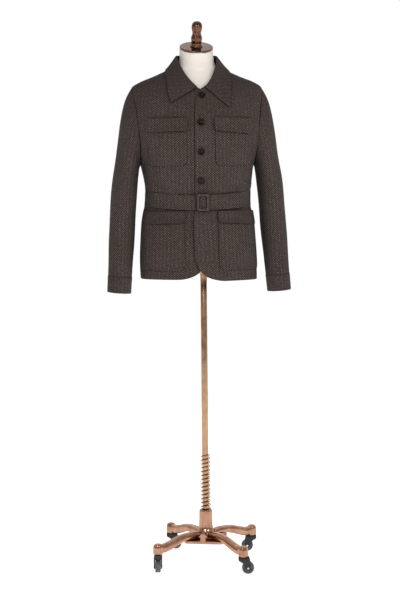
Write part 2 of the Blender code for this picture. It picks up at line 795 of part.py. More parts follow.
def buckle_loop(half_width, half_height, out):
    """Give a rectangle of points on the belt's form, moved out by a distance."""
    corners = ((1, -1), (1, 1), (-1, 1), (-1, -1))
    loop = []
    for (x0, z0), (x1, z1) in zip(corners, corners[1:] + corners[:1]):
        for step in range(BUCKLE_SPANS):
            share = step / BUCKLE_SPANS
            x = BUCKLE_X + half_width * (x0 + (x1 - x0) * share)
            z = BELT_CENTRE + half_height * (z0 + (z1 - z0) * share)
            loop.append(body_point(turn_at(x, z), z, out))
    return loop


def make_buckle(out):
    """Make the covered buckle as a rectangular frame that lies on the belt."""
    bar, thick, rounding = BUCKLE_BAR, BUCKLE_THICK, BUCKLE_ROUND
    section = (
        (0.0, rounding), (0.0, thick - rounding), (rounding, thick),
        (bar - rounding, thick), (bar, thick - rounding), (bar, 0.0), (rounding, 0.0),
    )
    loops = []
    for inset, rise in section:
        loops.append(buckle_loop(BUCKLE_WIDTH / 2 - inset, BUCKLE_HEIGHT / 2 - inset, out + rise))
    points, faces = closed_loft(loops + loops[:1])
    count = len(loops[0])
    total = len(loops) * count
    faces = [tuple(index % total for index in face) for face in faces[2:]]
    add_mesh("buckle", points[:total], faces, WOOL)


def make_buttons():
    """Make the buttons with a raised rim, flat on the over front."""
    profile = [(BUTTON_RADIUS * across, BUTTON_THICK * up) for across, up in BUTTON_PROFILE]
    points, faces = turned(profile, BUTTON_SIDES)
    for number, (across, height) in enumerate(BUTTON_PLACES, start=1):
        seat = body_point(turn_at(across, height), height, front_lift(1, across) + SEAM_GAP)
        normal = Vector(body_slope(body_point(turn_at(across, height), height)))
        turn = Matrix.Translation(Vector(seat)) @ normal.to_track_quat("Z", "Y").to_matrix().to_4x4()
        add_mesh(f"button_{number}", placed(points, turn), faces, BUTTON_HORN)


def form_ring(z):
    """Give one ring of the form, clear of the cloth at the sides and just under it on the shoulders."""
    half_width, _, _, squareness = BODY.at(z + FORM_TOP_DROP)
    half_width = min(half_width, FORM_SHOULDER)
    _, front, back, _ = BODY.at(z)
    on_shoulder = smooth(*FORM_SHOULDER_RISE, z)
    side_clear = FORM_SIDE_CLEAR * (1 - on_shoulder)
    ring = []
    for side in range(FORM_SIDES):
        turn = 2 * math.pi * side / FORM_SIDES
        depth = front if math.cos(turn) > 0 else back
        on_ridge = on_shoulder * smooth(0.0, FORM_RIDGE_SIDE, abs(math.sin(turn)))
        depth_clear = FORM_SIDE_CLEAR + FORM_RIDGE * on_ridge
        ring.append((
            (half_width - side_clear) * signed_power(math.sin(turn), 2 / squareness),
            -(depth - depth_clear) * signed_power(math.cos(turn), 2 / squareness),
            z,
        ))
    return ring


def neck_ring(z, half_width, half_depth, tilt=0.0):
    """Give one ring of the neck, tilted forward where asked."""
    ring = []
    for side in range(FORM_SIDES):
        turn = 2 * math.pi * side / FORM_SIDES
        y = -half_depth * math.cos(turn)
        ring.append((half_width * math.sin(turn), y, z + y * math.tan(tilt)))
    return ring


def make_form(carrier):
    """Make the form's torso and neck, the neck plate and the turned finial."""
    rings = [form_ring(z) for z in FORM_HEIGHTS]
    rings += [neck_ring(*row) for row in NECK_RINGS]
    rings.append(neck_ring(NECK_TOP, NECK_TOP_RADIUS, NECK_TOP_RADIUS, NECK_TILT))
    add_mesh("torso_form", *closed_loft(rings), FORM_COVER, carrier)
    seat = Matrix.Translation((0, 0, NECK_TOP)) @ Matrix.Rotation(NECK_TILT, 4, "X")
    points, faces = turned(NECK_PLATE_PROFILE, NECK_PLATE_SIDES)
    add_mesh("neck_plate", placed(points, seat), faces, BRONZE, carrier)
    points, faces = turned(FINIAL_PROFILE, FINIAL_SIDES)
    add_mesh("finial", placed(points, seat), faces, BRONZE, carrier)


def make_pole(carrier):
    """Make the pole and the collar that carries the form on it."""
    top = FORM_BOTTOM - SEAM_GAP
    points, faces = turned(((POLE_RADIUS, top), (POLE_RADIUS, POLE_BOTTOM)), TURNED_SIDES)
    add_mesh("pole", placed(points, STAND), faces, BRONZE, carrier)
    profile = [(radius, top - down) for radius, down in POLE_COLLAR_PROFILE]
    points, faces = turned(profile, TURNED_SIDES, POLE_RADIUS + SEAM_GAP)
    add_mesh("pole_collar", placed(points, STAND), faces, BRONZE, carrier)


def make_spring():
    """Make the coil spring that stands on the hub round the pole."""
    path = bpy.data.curves.new("spring", "CURVE")
    path.dimensions = "3D"
    path.bevel_depth = SPRING_WIRE
    path.bevel_resolution = 0
    path.use_fill_caps = True
    line = path.splines.new("POLY")
    count = SPRING_TURNS * SPRING_STEPS + 1
    low = HUB_PROFILE[0][1] + SPRING_WIRE + SEAM_GAP
    high = SPRING_TOP - SPRING_WIRE
    line.points.add(count - 1)
    for step in range(count):
        angle = 2 * math.pi * step / SPRING_STEPS
        z = low + (high - low) * step / (count - 1)
        x = STAND_X + SPRING_RADIUS * math.cos(angle)
        line.points[step].co = (x, SPRING_RADIUS * math.sin(angle), z, 1.0)
    spring = bpy.data.objects.new("spring", path)
    bpy.context.collection.objects.link(spring)
    path.materials.append(BRONZE)


def make_hub_and_plate():
    """Make the hub, bored for the pole, and the square plate under it."""
    bore = POLE_RADIUS + BORE_CLEAR
    points, faces = turned(HUB_PROFILE, TURNED_SIDES, bore)
    add_mesh("hub", placed(points, STAND), faces, BRONZE)
    reach = PLATE_SIDE / math.sqrt(2)
    outline = []
    for corner in range(4):
        angle = BASE_TURN + corner * math.pi / 2
        for way in (-1, 1):
            blunt = way * PLATE_NIP / reach
            outline.append((reach * math.cos(angle + blunt), reach * math.sin(angle + blunt)))
    points, faces = prism(outline, PLATE_TOP - PLATE_THICK, PLATE_TOP)
    plate = add_mesh("base_plate", placed(points, STAND), faces, BRONZE)
    hole = PLATE_TOP + PLATE_THICK
    points, faces = turned(((bore, hole), (bore, -hole)), HOLE_SIDES)
    combine(plate, add_mesh("plate_hole", placed(points, STAND), faces, BRONZE), "DIFFERENCE")


def make_leg(number, angle):
    """Make one cast leg with its domed boss, bored for the caster's stem."""
    rings = []
    for reach, height, half_width, half_height in LEG_SECTIONS:
        ring = []
        for side in range(LEG_SIDES):
            a = 2 * math.pi * side / LEG_SIDES
            across = half_width * signed_power(math.cos(a), LEG_SQUARENESS)
            up = half_height * signed_power(math.sin(a), LEG_SQUARENESS)
            ring.append((reach, across, height + up))
        rings.append(ring)
    points, faces = closed_loft(rings)
    spin = STAND @ Matrix.Rotation(angle, 4, "Z")
    leg = add_mesh(f"leg_{number}", placed(points, spin), faces, BRONZE)
    seat = spin @ Matrix.Translation((CASTER_RING, 0, 0))
    points, faces = turned(BOSS_PROFILE, BOSS_SIDES)
    combine(leg, add_mesh(f"boss_{number}", placed(points, seat), faces, BRONZE), "UNION")
    radius = STEM_RADIUS + SEAM_GAP
    points, faces = turned(((radius, STEM_TOP + SEAM_GAP), (radius, 0.0)), STEM_SIDES)
    combine(leg, add_mesh(f"boss_bore_{number}", placed(points, seat), faces, BRONZE), "DIFFERENCE")


def make_caster(number, angle, trail_turn):
    """Make one caster: the fork with its stem and axle, and the wheel."""
    place = STAND @ Vector((CASTER_RING * math.cos(angle), CASTER_RING * math.sin(angle), 0.0))
    swivel = add_empty(f"swivel_{number}", place, trail_turn)
    axle_height = WHEEL_RADIUS * math.cos(math.pi / WHEEL_SIDES)
    roll = add_empty(
        f"roll_{number}", swivel.matrix_world @ Vector((TRAIL, 0, axle_height)), trail_turn, swivel,
    )
    world = swivel.matrix_world
    arch = [
        (FORK_HALF, FORK_FOOT), (FORK_HALF, FORK_TOP - FORK_NIP), (FORK_HALF - FORK_NIP, FORK_TOP),
        (-FORK_HALF + FORK_NIP, FORK_TOP), (-FORK_HALF, FORK_TOP - FORK_NIP), (-FORK_HALF, FORK_FOOT),
        (-FORK_INNER, FORK_FOOT), (-FORK_INNER, FORK_UNDER),
        (FORK_INNER, FORK_UNDER), (FORK_INNER, FORK_FOOT),
    ]
    points, faces = prism(arch, FORK_SIDE[0][0], max(along for along, _ in FORK_SIDE))
    fork = add_mesh(f"fork_{number}", placed(points, world @ STAND_UP), faces, CASTER_BLACK, swivel)
    points, faces = prism(FORK_SIDE, -2 * FORK_HALF, 2 * FORK_HALF)
    on_edge = Matrix.Rotation(math.pi / 2, 4, "X")
    side = add_mesh(f"fork_side_{number}", placed(points, world @ on_edge), faces, CASTER_BLACK, swivel)
    combine(fork, side, "INTERSECT")
    points, faces = turned(((STEM_RADIUS, STEM_TOP), (STEM_RADIUS, FORK_UNDER + FORK_NIP)), STEM_SIDES)
    stem = add_mesh(f"stem_{number}", placed(points, world), faces, CASTER_BLACK, swivel)
    combine(fork, stem, "UNION")
    lie_down = Matrix.Translation((TRAIL, 0, axle_height)) @ on_edge
    points, faces = turned(((AXLE_RADIUS, AXLE_HALF), (AXLE_RADIUS, -AXLE_HALF)), PIN_SIDES)
    axle = add_mesh(f"axle_{number}", placed(points, world @ lie_down), faces, CASTER_BLACK, swivel)
    combine(fork, axle, "UNION")
    points, faces = turned(WHEEL_PROFILE, WHEEL_SIDES, AXLE_RADIUS + BORE_CLEAR)
    level = Matrix.Rotation(math.pi / WHEEL_SIDES, 4, "Z")
    add_mesh(f"wheel_{number}", placed(points, world @ lie_down @ level), faces, CASTER_BLACK, roll)


def make_pedal():
    """Make the pedal with its upright arrow, and the bracket on the plate that holds its pin."""
    spin = STAND @ Matrix.Rotation(PEDAL_TURN, 4, "Z")
    hinge = add_empty("pedal_hinge", spin @ Vector((PEDAL_PIN_REACH, 0, PEDAL_PIN_HEIGHT)), PEDAL_TURN)
    low, high = PEDAL_PIN_HEIGHT - PEDAL_HALF, PEDAL_PIN_HEIGHT + PEDAL_HALF
    half = PEDAL_ARM_HALF
    points, faces = prism(((-half, low), (half, low), (half, high), (-half, high)), *PEDAL_ARM)
    pedal = add_mesh("pedal", placed(points, spin @ STAND_UP), faces, BRONZE, hinge)
    outline = [(across, up) for across, up in PEDAL_OUTLINE]
    outline += [(-across, up) for across, up in reversed(PEDAL_OUTLINE) if across]
    points, faces = prism(outline, *PEDAL_FACE)
    arrow = add_mesh("pedal_arrow", placed(points, spin @ STAND_UP), faces, BRONZE, hinge)
    combine(pedal, arrow, "UNION")
    pin_place = Matrix.Translation((PEDAL_PIN_REACH, 0, PEDAL_PIN_HEIGHT))
    across = spin @ pin_place @ Matrix.Rotation(math.pi / 2, 4, "X")
    reach = EAR_HALF_GAP + EAR_THICK
    radius = PEDAL_PIN_RADIUS + BORE_CLEAR
    points, faces = turned(((radius, 2 * reach), (radius, -2 * reach)), PIN_SIDES)
    combine(pedal, add_mesh("pedal_bore", placed(points, across), faces, BRONZE, hinge), "DIFFERENCE")
    low = PLATE_TOP + SEAM_GAP
    foot = low + BRACKET_FOOT
    shape = [
        (-reach, low), (reach, low), (reach, EAR_TOP), (EAR_HALF_GAP, EAR_TOP), (EAR_HALF_GAP, foot),
        (-EAR_HALF_GAP, foot), (-EAR_HALF_GAP, EAR_TOP), (-reach, EAR_TOP),
    ]
    points, faces = prism(shape, PEDAL_PIN_REACH - EAR_HALF_DEPTH, PEDAL_PIN_REACH + EAR_HALF_DEPTH)
    bracket = add_mesh("pedal_bracket", placed(points, spin @ STAND_UP), faces, BRONZE)
    pin_reach = reach - PIN_SHORT
    points, faces = turned(((PEDAL_PIN_RADIUS, pin_reach), (PEDAL_PIN_RADIUS, -pin_reach)), PIN_SIDES)
    combine(bracket, add_mesh("pedal_pin", placed(points, across), faces, BRONZE), "UNION")


for old in list(bpy.data.objects):
    bpy.data.objects.remove(old)
mast = add_empty("mast", (STAND_X, 0, POLE_BOTTOM))
make_panels()
make_sleeves()
make_collar()
make_patches()
make_belt()
make_buttons()
make_form(mast)
make_pole(mast)
make_spring()
make_hub_and_plate()
for leg in range(4):
    leg_turn = BASE_TURN + leg * math.pi / 2
    make_leg(leg + 1, leg_turn)
    make_caster(leg + 1, leg_turn, TRAIL_TURNS[leg])
make_pedal()
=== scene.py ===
import json
import math

import bmesh
import bpy
import numpy as np
from mathutils import Matrix, Vector
from mathutils.bvhtree import BVHTree
from mathutils.kdtree import KDTree


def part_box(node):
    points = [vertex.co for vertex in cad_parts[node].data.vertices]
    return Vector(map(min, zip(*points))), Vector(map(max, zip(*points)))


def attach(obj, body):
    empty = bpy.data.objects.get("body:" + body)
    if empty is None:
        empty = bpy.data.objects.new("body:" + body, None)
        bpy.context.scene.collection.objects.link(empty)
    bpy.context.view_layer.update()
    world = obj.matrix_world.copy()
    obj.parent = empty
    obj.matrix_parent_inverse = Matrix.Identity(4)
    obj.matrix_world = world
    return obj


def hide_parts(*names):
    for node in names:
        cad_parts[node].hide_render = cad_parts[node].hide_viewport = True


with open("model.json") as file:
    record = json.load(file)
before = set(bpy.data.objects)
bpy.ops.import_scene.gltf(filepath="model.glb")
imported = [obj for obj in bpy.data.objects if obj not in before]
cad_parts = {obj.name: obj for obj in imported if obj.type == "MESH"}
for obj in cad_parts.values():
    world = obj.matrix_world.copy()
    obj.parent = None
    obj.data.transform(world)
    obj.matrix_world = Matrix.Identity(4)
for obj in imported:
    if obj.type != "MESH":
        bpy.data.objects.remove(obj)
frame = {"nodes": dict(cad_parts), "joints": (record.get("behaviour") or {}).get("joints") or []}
nodes = frame["nodes"]
joints = {joint["name"]: joint for joint in frame["joints"]}
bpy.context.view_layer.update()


# Base plate and hub: a square of steel plate under a turned and bored sleeve that guides the pole.
# Both are plated in a bright bronze colour, with their edges eased.
SMOOTH_UNDER = math.radians(50)


def copy_of(node, name):
    """Make a new piece from a CAD node's mesh, with its split corners merged, and pick it alone."""
    piece = bpy.data.objects.new(name, nodes[node].data.copy())
    bpy.context.scene.collection.objects.link(piece)
    pick(piece)
    bpy.ops.mesh.customdata_custom_splitnormals_clear()
    bpy.ops.object.mode_set(mode="EDIT")
    bpy.ops.mesh.select_all(action="SELECT")
    bpy.ops.mesh.remove_doubles(threshold=0.00002)
    bpy.ops.mesh.tris_convert_to_quads(face_threshold=SMOOTH_UNDER, shape_threshold=math.radians(60))
    bpy.ops.object.mode_set(mode="OBJECT")
    return piece


def pick(piece):
    """Select one piece alone and make it active."""
    bpy.ops.object.select_all(action="DESELECT")
    piece.select_set(True)
    bpy.context.view_layer.objects.active = piece


def change(piece, kind, **settings):
    """Give a piece a modifier and apply it."""
    pick(piece)
    made = piece.modifiers.new(kind.lower(), kind)
    for key, value in settings.items():
        setattr(made, key, value)
    bpy.ops.object.modifier_apply(modifier=made.name)


def ease_edges(piece, width, segments=3, angle=40):
    """Round a piece's sharp edges and shade the rest smooth."""
    limit = math.radians(angle)
    change(piece, "BEVEL", width=width, segments=segments, limit_method="ANGLE", angle_limit=limit)
    bpy.ops.object.shade_smooth_by_angle(angle=SMOOTH_UNDER)


def rounded(piece, crease=0.0):
    """Subdivide a piece twice, holding its sharp edges by a crease."""
    pick(piece)
    if crease:
        bpy.ops.object.mode_set(mode="EDIT")
        bpy.ops.mesh.select_all(action="DESELECT")
        bpy.ops.mesh.select_mode(type="EDGE")
        bpy.ops.mesh.edges_select_sharp(sharpness=SMOOTH_UNDER)
        bpy.ops.transform.edge_crease(value=crease)
        bpy.ops.object.mode_set(mode="OBJECT")
    change(piece, "SUBSURF", levels=2, render_levels=2)
    bpy.ops.object.shade_smooth()


def settle(piece, body, material, slot, *replaced):
    """Give a piece its material and its body, and hide the CAD nodes that it stands for. Its slot is not
    used.
    """
    piece.data.materials.clear()
    piece.data.materials.append(material)
    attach(piece, body)
    if replaced:
        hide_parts(*replaced)


def linear(*srgb):
    """Turn display colour values from 0 to 255 into the linear values a shader takes."""
    return tuple((value / 255) ** 2.2 for value in srgb) + (1.0,)


class Shader:
    """A material's nodes, added one at a time and linked as they are named."""

    def __init__(self, name):
        self.material = bpy.data.materials.new(name)
        self.material.use_nodes = True
        self.tree = self.material.node_tree
        self.surface = self.tree.nodes["Principled BSDF"]

    def add(self, kind, inputs, output=0, **settings):
        made = self.tree.nodes.new("ShaderNode" + kind)
        for key, value in settings.items():
            setattr(made, key, value)
        for key, value in inputs.items():
            self.put(made.inputs[key], value)
        return made.outputs[output]

    def put(self, socket, value):
        if isinstance(value, bpy.types.NodeSocket):
            self.tree.links.new(value, socket)
        else:
            socket.default_value = value

    def math(self, operation, first, second=0.0):
        return self.add("Math", {0: first, 1: second}, operation=operation)

    def noise(self, place, scale, detail=2.0):
        return self.add("TexNoise", {"Vector": place, "Scale": scale, "Detail": detail})

    def ramp(self, value, low, high, to_low, to_high, kind="LINEAR"):
        inputs = {"Value": value, 1: low, 2: high, 3: to_low, 4: to_high}
        return self.add("MapRange", inputs, interpolation_type=kind)

    def blend(self, share, first, second):
        made = self.tree.nodes.new("ShaderNodeMix")
        made.data_type = "RGBA"
        for index, value in ((0, share), (6, first), (7, second)):
            self.put(made.inputs[index], value)
        return made.outputs[2]

    def set(self, **values):
        for key, value in values.items():
            self.put(self.surface.inputs[key.replace("_", " ")], value)

    def bump(self, height, strength, distance):
        inputs = {"Height": height, "Strength": strength, "Distance": distance}
        self.put(self.surface.inputs["Normal"], self.add("Bump", inputs))


def plated(name, bright, dull, rough):
    """Make a plated metal, a little uneven in colour and polish, with fine drawn lines along it."""
    made = Shader(name)
    place = made.add("TexCoord", {}, output=3)
    cloudy = made.noise(place, 38.0, 3.0)
    grain = made.noise(made.add("Mapping", {"Vector": place, "Scale": (420.0, 420.0, 30.0)}), 1.0)
    made.set(Metallic=1.0, Base_Color=made.blend(made.ramp(cloudy, 0.35, 0.65, 0.0, 1.0), dull, bright))
    made.set(Roughness=made.ramp(made.math("ADD", cloudy, grain), 0.7, 1.3, rough - 0.05, rough + 0.07))
    made.bump(grain, 0.02, 0.0003)
    return made.material


BRONZE = plated("bronze_plate", linear(188, 145, 120), linear(168, 125, 102), 0.2)

plate = copy_of("base_plate", "square_plate")
ease_edges(plate, 0.0014)
settle(plate, "base", BRONZE, "bronze", "base_plate")

hub = copy_of("hub", "hub_sleeve")
rounded(hub)
settle(hub, "base", BRONZE, "bronze", "hub")


# Legs: four castings with a slow arch and a domed boss that takes a caster's stem.
# The mould leaves soft edges and a fillet where the arm runs into the boss.
LEG_VOXEL = 0.0013
pole_axis = Vector(joints["mast_slide"]["pos_m"]) * Vector((1, 1, 0))


def own_copy(piece, name, move):
    """Copy a finished piece with a mesh of its own, moved by a matrix."""
    made = bpy.data.objects.new(name, piece.data.copy())
    made.data.transform(move)
    bpy.context.scene.collection.objects.link(made)
    return made


first_leg = copy_of("leg_1", "cast_leg_1")
change(first_leg, "REMESH", mode="VOXEL", voxel_size=LEG_VOXEL)
change(first_leg, "SMOOTH", factor=0.5, iterations=20)
bpy.ops.object.shade_smooth()
legs = [first_leg]
for number in (2, 3, 4):
    spin = Matrix.Rotation((number - 1) * math.pi / 2, 4, "Z")
    around = Matrix.Translation(pole_axis) @ spin @ Matrix.Translation(-pole_axis)
    legs.append(own_copy(first_leg, f"cast_leg_{number}", around))
for number, leg in enumerate(legs, start=1):
    settle(leg, "base", BRONZE, "bronze", f"leg_{number}")


# Casters: a moulded nylon fork with a steel stem, and a solid wheel on a riveted axle.
# The fork and the wheel's centre are black, and the tread is scuffed grey.
WHEEL_RADIUS = 0.0197
WHEEL_WIDTH = 0.0172
WHEEL_SIDES = 48
# Steps of a wheel's side, from its rim inwards. Columns: width, height
WHEEL_STEPS = ((0.0042, 0.0), (0.0012, -0.0018), (0.0062, 0.0), (0.0009, 0.0016))
RIVET_RADIUS = 0.0034
RIVET_OUT = 0.0152


def plastic(name, colour, worn, wear):
    """Make a moulded plastic with a fine grain and scuffs."""
    made = Shader(name)
    place = made.add("TexCoord", {}, output=3)
    scuff = made.ramp(made.noise(place, 260.0, 4.0), 0.45, 0.75, 0.0, wear)
    fine = made.noise(place, 1500.0)
    made.set(Base_Color=made.blend(scuff, colour, worn), Roughness=made.ramp(fine, 0.3, 0.7, 0.38, 0.52))
    made.bump(fine, 0.15, 0.0003)
    return made.material


FORK_BLACK = plastic("fork_nylon", linear(30, 30, 31), linear(62, 62, 62), 0.35)
TREAD_GREY = plastic("wheel_tread", linear(66, 67, 68), linear(138, 140, 140), 0.55)
RIVET_STEEL = plated("rivet_steel", linear(232, 230, 226), linear(205, 202, 198), 0.3)


def trail_of(number):
    """Give where a caster's swivel axis meets the floor, the turn of its trail and its axle's middle."""
    stem = Vector(joints[f"swivel_{number}"]["pos_m"])
    axle = Vector(joints[f"roll_{number}"]["pos_m"])
    trail = axle - stem
    return Vector((stem.x, stem.y, 0.0)), math.atan2(trail.y, trail.x), axle


def on_axle(place, turn):
    """Give the move that lays a piece made round Z on a caster's axle."""
    return Matrix.Translation(place) @ Matrix.Rotation(turn, 4, "Z") @ Matrix.Rotation(math.pi / 2, 4, "X")


def made_wheel(name, place, turn):
    """Model a wheel with a round tread and dished sides."""
    bpy.ops.object.select_all(action="DESELECT")
    bpy.ops.mesh.primitive_cylinder_add(vertices=WHEEL_SIDES, radius=WHEEL_RADIUS, depth=WHEEL_WIDTH)
    wheel = bpy.context.object
    wheel.name = name
    bpy.ops.object.mode_set(mode="EDIT")
    bpy.ops.mesh.select_mode(type="FACE")
    for side in (1, -1):
        shape = bmesh.from_edit_mesh(wheel.data)
        for face in shape.faces:
            face.select_set(len(face.verts) == WHEEL_SIDES and face.normal.z * side > 0.9)
        bmesh.update_edit_mesh(wheel.data)
        for width, height in WHEEL_STEPS:
            bpy.ops.mesh.inset(thickness=width, depth=height)
    bpy.ops.object.mode_set(mode="OBJECT")
    ease_edges(wheel, 0.0022, 4, 70)
    wheel.data.transform(on_axle(place, turn))
    return wheel


def made_rivets(name, place, turn):
    """Model the two domed heads of an axle's rivet."""
    bpy.ops.object.select_all(action="DESELECT")
    bpy.ops.mesh.primitive_cylinder_add(vertices=20, radius=RIVET_RADIUS, depth=2 * RIVET_OUT)
    rivet = bpy.context.object
    rivet.name = name
    ease_edges(rivet, 0.0009, 3, 60)
    rivet.data.transform(on_axle(place, turn))
    return rivet


first_stem, first_turn, first_axle = trail_of(1)
first_fork = copy_of("fork_1", "caster_fork_1")
ease_edges(first_fork, 0.0011, 3, 30)
first_wheel = made_wheel("caster_wheel_1", first_axle, first_turn)
first_rivet = made_rivets("axle_rivet_1", first_axle, first_turn)
for number in (1, 2, 3, 4):
    stem, turn, _ = trail_of(number)
    swivel = Matrix.Rotation(turn - first_turn, 4, "Z")
    move = Matrix.Translation(stem) @ swivel @ Matrix.Translation(-first_stem)
    fork, wheel, rivet = first_fork, first_wheel, first_rivet
    if number > 1:
        fork = own_copy(first_fork, f"caster_fork_{number}", move)
        wheel = own_copy(first_wheel, f"caster_wheel_{number}", move)
        rivet = own_copy(first_rivet, f"axle_rivet_{number}", move)
    settle(fork, f"caster_{number}", FORK_BLACK, "caster_black", f"fork_{number}")
    settle(wheel, f"roller_{number}", TREAD_GREY, "caster_black", f"wheel_{number}")
    settle(rivet, f"caster_{number}", RIVET_STEEL, "bronze")


# Pedal: a pressed arm with an upright arrow at its end, on a pin between the ears of a bracket.
# It is cut from plate, bent and plated like the base.
for node, body in (("pedal", "pedal_arm"), ("pedal_bracket", "base")):
    piece = copy_of(node, node + "_plated")
    ease_edges(piece, 0.0008, 2)
    settle(piece, body, BRONZE, "bronze", node)


# Pole and its collar: a drawn steel tube that slides through the hub, and the flange that carries the form.
# Both are plated in a yellower bronze than the base.
POLE_BRONZE = plated("pole_bronze", linear(196, 158, 126), linear(176, 138, 108), 0.2)
for node in ("pole", "pole_collar"):
    piece = copy_of(node, node + "_drawn")
    ease_edges(piece, 0.0007, 2, 50)
    settle(piece, "mast", POLE_BRONZE, "bronze", node)


# Spring: hard steel wire wound into an open coil, plated like the pole.
# It stands loose on the hub round the pole and takes the shock when the form is let down.
SPRING_RADIUS = 0.0155
SPRING_WIRE = 0.0020
SPRING_TURNS = 14
spring_low, spring_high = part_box("spring")
bpy.ops.object.select_all(action="DESELECT")
bpy.ops.mesh.primitive_circle_add(vertices=12, radius=SPRING_WIRE, fill_type="NGON")
spring = bpy.context.object
spring.name = "coil_spring"
rise = spring_high[2] - spring_low[2] - 2 * SPRING_WIRE
first_place = Matrix.Translation((SPRING_RADIUS, 0, spring_low[2] + SPRING_WIRE))
spring.data.transform(first_place @ Matrix.Rotation(math.pi / 2, 4, "X"))
change(
    spring, "SCREW", axis="Z", angle=2 * math.pi, screw_offset=rise / SPRING_TURNS, iterations=SPRING_TURNS,
    steps=36, render_steps=36, use_normal_calculate=True,
)
bpy.ops.object.shade_smooth()
spring.data.transform(Matrix.Translation(pole_axis))
settle(spring, "base", POLE_BRONZE, "bronze", "spring")


# Dress form: a padded shell under a cream jersey cover, drawn tight over the neck.
# The knit is fine, with its wales running up the form.
WALES_ROUND = 260.0
COURSES_UP = 3900.0


def knit(name, colour, shade):
    """Make a fine jersey knit from rows of small stitches."""
    made = Shader(name)
    place = made.add("TexCoord", {}, output=3)
    parts = made.tree.nodes.new("ShaderNodeSeparateXYZ")
    made.put(parts.inputs[0], place)
    turn = made.math("ARCTAN2", parts.outputs[0], parts.outputs[1])
    wale = made.math("SINE", made.math("MULTIPLY", turn, WALES_ROUND))
    course = made.math("SINE", made.math("MULTIPLY", parts.outputs[2], COURSES_UP))
    stitch = made.math("MULTIPLY", wale, course)
    slow = made.noise(place, 14.0, 3.0)
    tone = made.math("ADD", made.ramp(slow, 0.3, 0.7, 0.0, 0.6), made.ramp(stitch, -1.0, 1.0, 0.0, 0.3))
    made.set(Base_Color=made.blend(tone, colour, shade), Roughness=0.88)
    made.bump(stitch, 0.25, 0.0005)
    return made.material


# The shoulders slope a little more towards their ends
SHOULDER_DROP = 0.0065
SHOULDER_SIDES = (0.165, 0.225)
SHOULDER_ENDS = (1.43, 1.51)


def eased(low, high, value):
    """Ease an array from 0 to 1 between two values."""
    share = np.clip((value - low) / (high - low), 0.0, 1.0)
    return share * share * (3 - 2 * share)


def drop_shoulders(piece):
    """Round the shoulders of the form, or of what lies on it, down at their ends."""
    points = np.array([vertex.co[:] for vertex in piece.data.vertices])
    outward = eased(*SHOULDER_SIDES, np.abs(points[:, 0]))
    points[:, 2] -= SHOULDER_DROP * outward * eased(*SHOULDER_ENDS, points[:, 2])
    piece.data.vertices.foreach_set("co", points.ravel())
    piece.data.update()


JERSEY = knit("form_jersey", linear(238, 231, 222), linear(226, 217, 206))
form = copy_of("torso_form", "dress_form")
rounded(form, 0.85)
drop_shoulders(form)
settle(form, "mast", JERSEY, "form_cover", "torso_form")


# Neck plate and finial: a spun cap on the neck and a turned knob screwed to it.
# Both have a darker, glossier bronze finish than the stand.
CAP_BRONZE = plated("cap_bronze", linear(124, 92, 76), linear(98, 68, 54), 0.1)
for node, crease in (("neck_plate", 0.6), ("finial", 0.0)):
    piece = copy_of(node, node + "_turned")
    rounded(piece, crease)
    settle(piece, "mast", CAP_BRONZE, "bronze", node)


# Jacket backs and fronts: two backs joined down the middle, and two fronts whose left laps over the right.
# They are cut from dark brown wool with a small staggered speckle and sewn into one body.
DOT_ACROSS = 0.0088
DOT_UP = 0.0038
DOT_SHAPE = (0.75, 1.25)
WOOL_TONES = ((56, 48, 43), (65, 54, 53), (40, 33, 31))
SPECK_TONE = (158, 145, 138)
# Shade in the cloth's hollows. Columns: reach, openness where it is full, where it ends, tone
HOLLOWS = ((0.06, 0.25, 0.90, 36), (0.010, 0.30, 0.82, 14))
PANEL_WALL = 0.0020
CLOTH_LEVELS = 3
SHARP_CORNER = math.radians(135)
MERGE_NEAR = 0.00005
WALL_NEAR = 0.00004
SEAM_NEAR = 0.0004
# Soft creases. Columns: turn in degrees and height at each end, half width, depth (a ridge above 0)
BODY_CREASES = (
    (-74, 1.300, -48, 1.245, 0.012, -0.0022),
    (-80, 1.270, -56, 1.236, 0.010, 0.0020),
    (-60, 1.372, -82, 1.300, 0.014, -0.0024),
    (-88, 1.262, -66, 1.240, 0.009, -0.0022),
    (76, 1.296, 50, 1.247, 0.012, -0.0020),
    (84, 1.268, 60, 1.238, 0.010, 0.0021),
    (62, 1.376, 84, 1.304, 0.014, -0.0022),
    (50, 1.268, 57, 1.222, 0.006, -0.0030),
    (46, 1.264, 52, 1.224, 0.006, 0.0016),
    (34, 1.300, 30, 1.240, 0.012, 0.0012),
    (-30, 1.310, -27, 1.242, 0.012, 0.0012),
    (-86, 1.168, -72, 1.020, 0.014, -0.0020),
    (86, 1.172, 74, 1.010, 0.014, -0.0022),
    (-14, 1.170, -11, 1.020, 0.010, -0.0010),
    (22, 1.150, 26, 1.000, 0.013, 0.0012),
    (-96, 1.150, -104, 0.985, 0.016, -0.0030),
    (100, 1.160, 106, 0.990, 0.016, -0.0028),
    (132, 1.172, 137, 0.980, 0.018, -0.0032),
    (-136, 1.170, -140, 0.975, 0.018, -0.0030),
    (168, 1.165, 166, 1.000, 0.016, 0.0024),
    (-170, 1.168, -166, 1.010, 0.016, 0.0022),
    (120, 1.330, 152, 1.240, 0.015, -0.0030),
    (-118, 1.326, -150, 1.242, 0.015, -0.0032),
    (138, 1.345, 166, 1.262, 0.013, 0.0022),
    (-134, 1.350, -165, 1.258, 0.013, 0.0022),
    (128, 1.470, 140, 1.380, 0.018, -0.0022),
    (-126, 1.476, -142, 1.385, 0.018, -0.0024),
)
# Slow unevenness of the hanging cloth. Columns: waves round the body, waves per metre up, phase, depth
BODY_WAVES = ((5, 3.1, 0.4, 0.0007), (9, 1.7, 2.1, 0.0005), (3, 6.3, 4.0, 0.0006), (14, 2.3, 1.2, 0.0003))
SHOULDER_CALM = (1.50, 1.56)
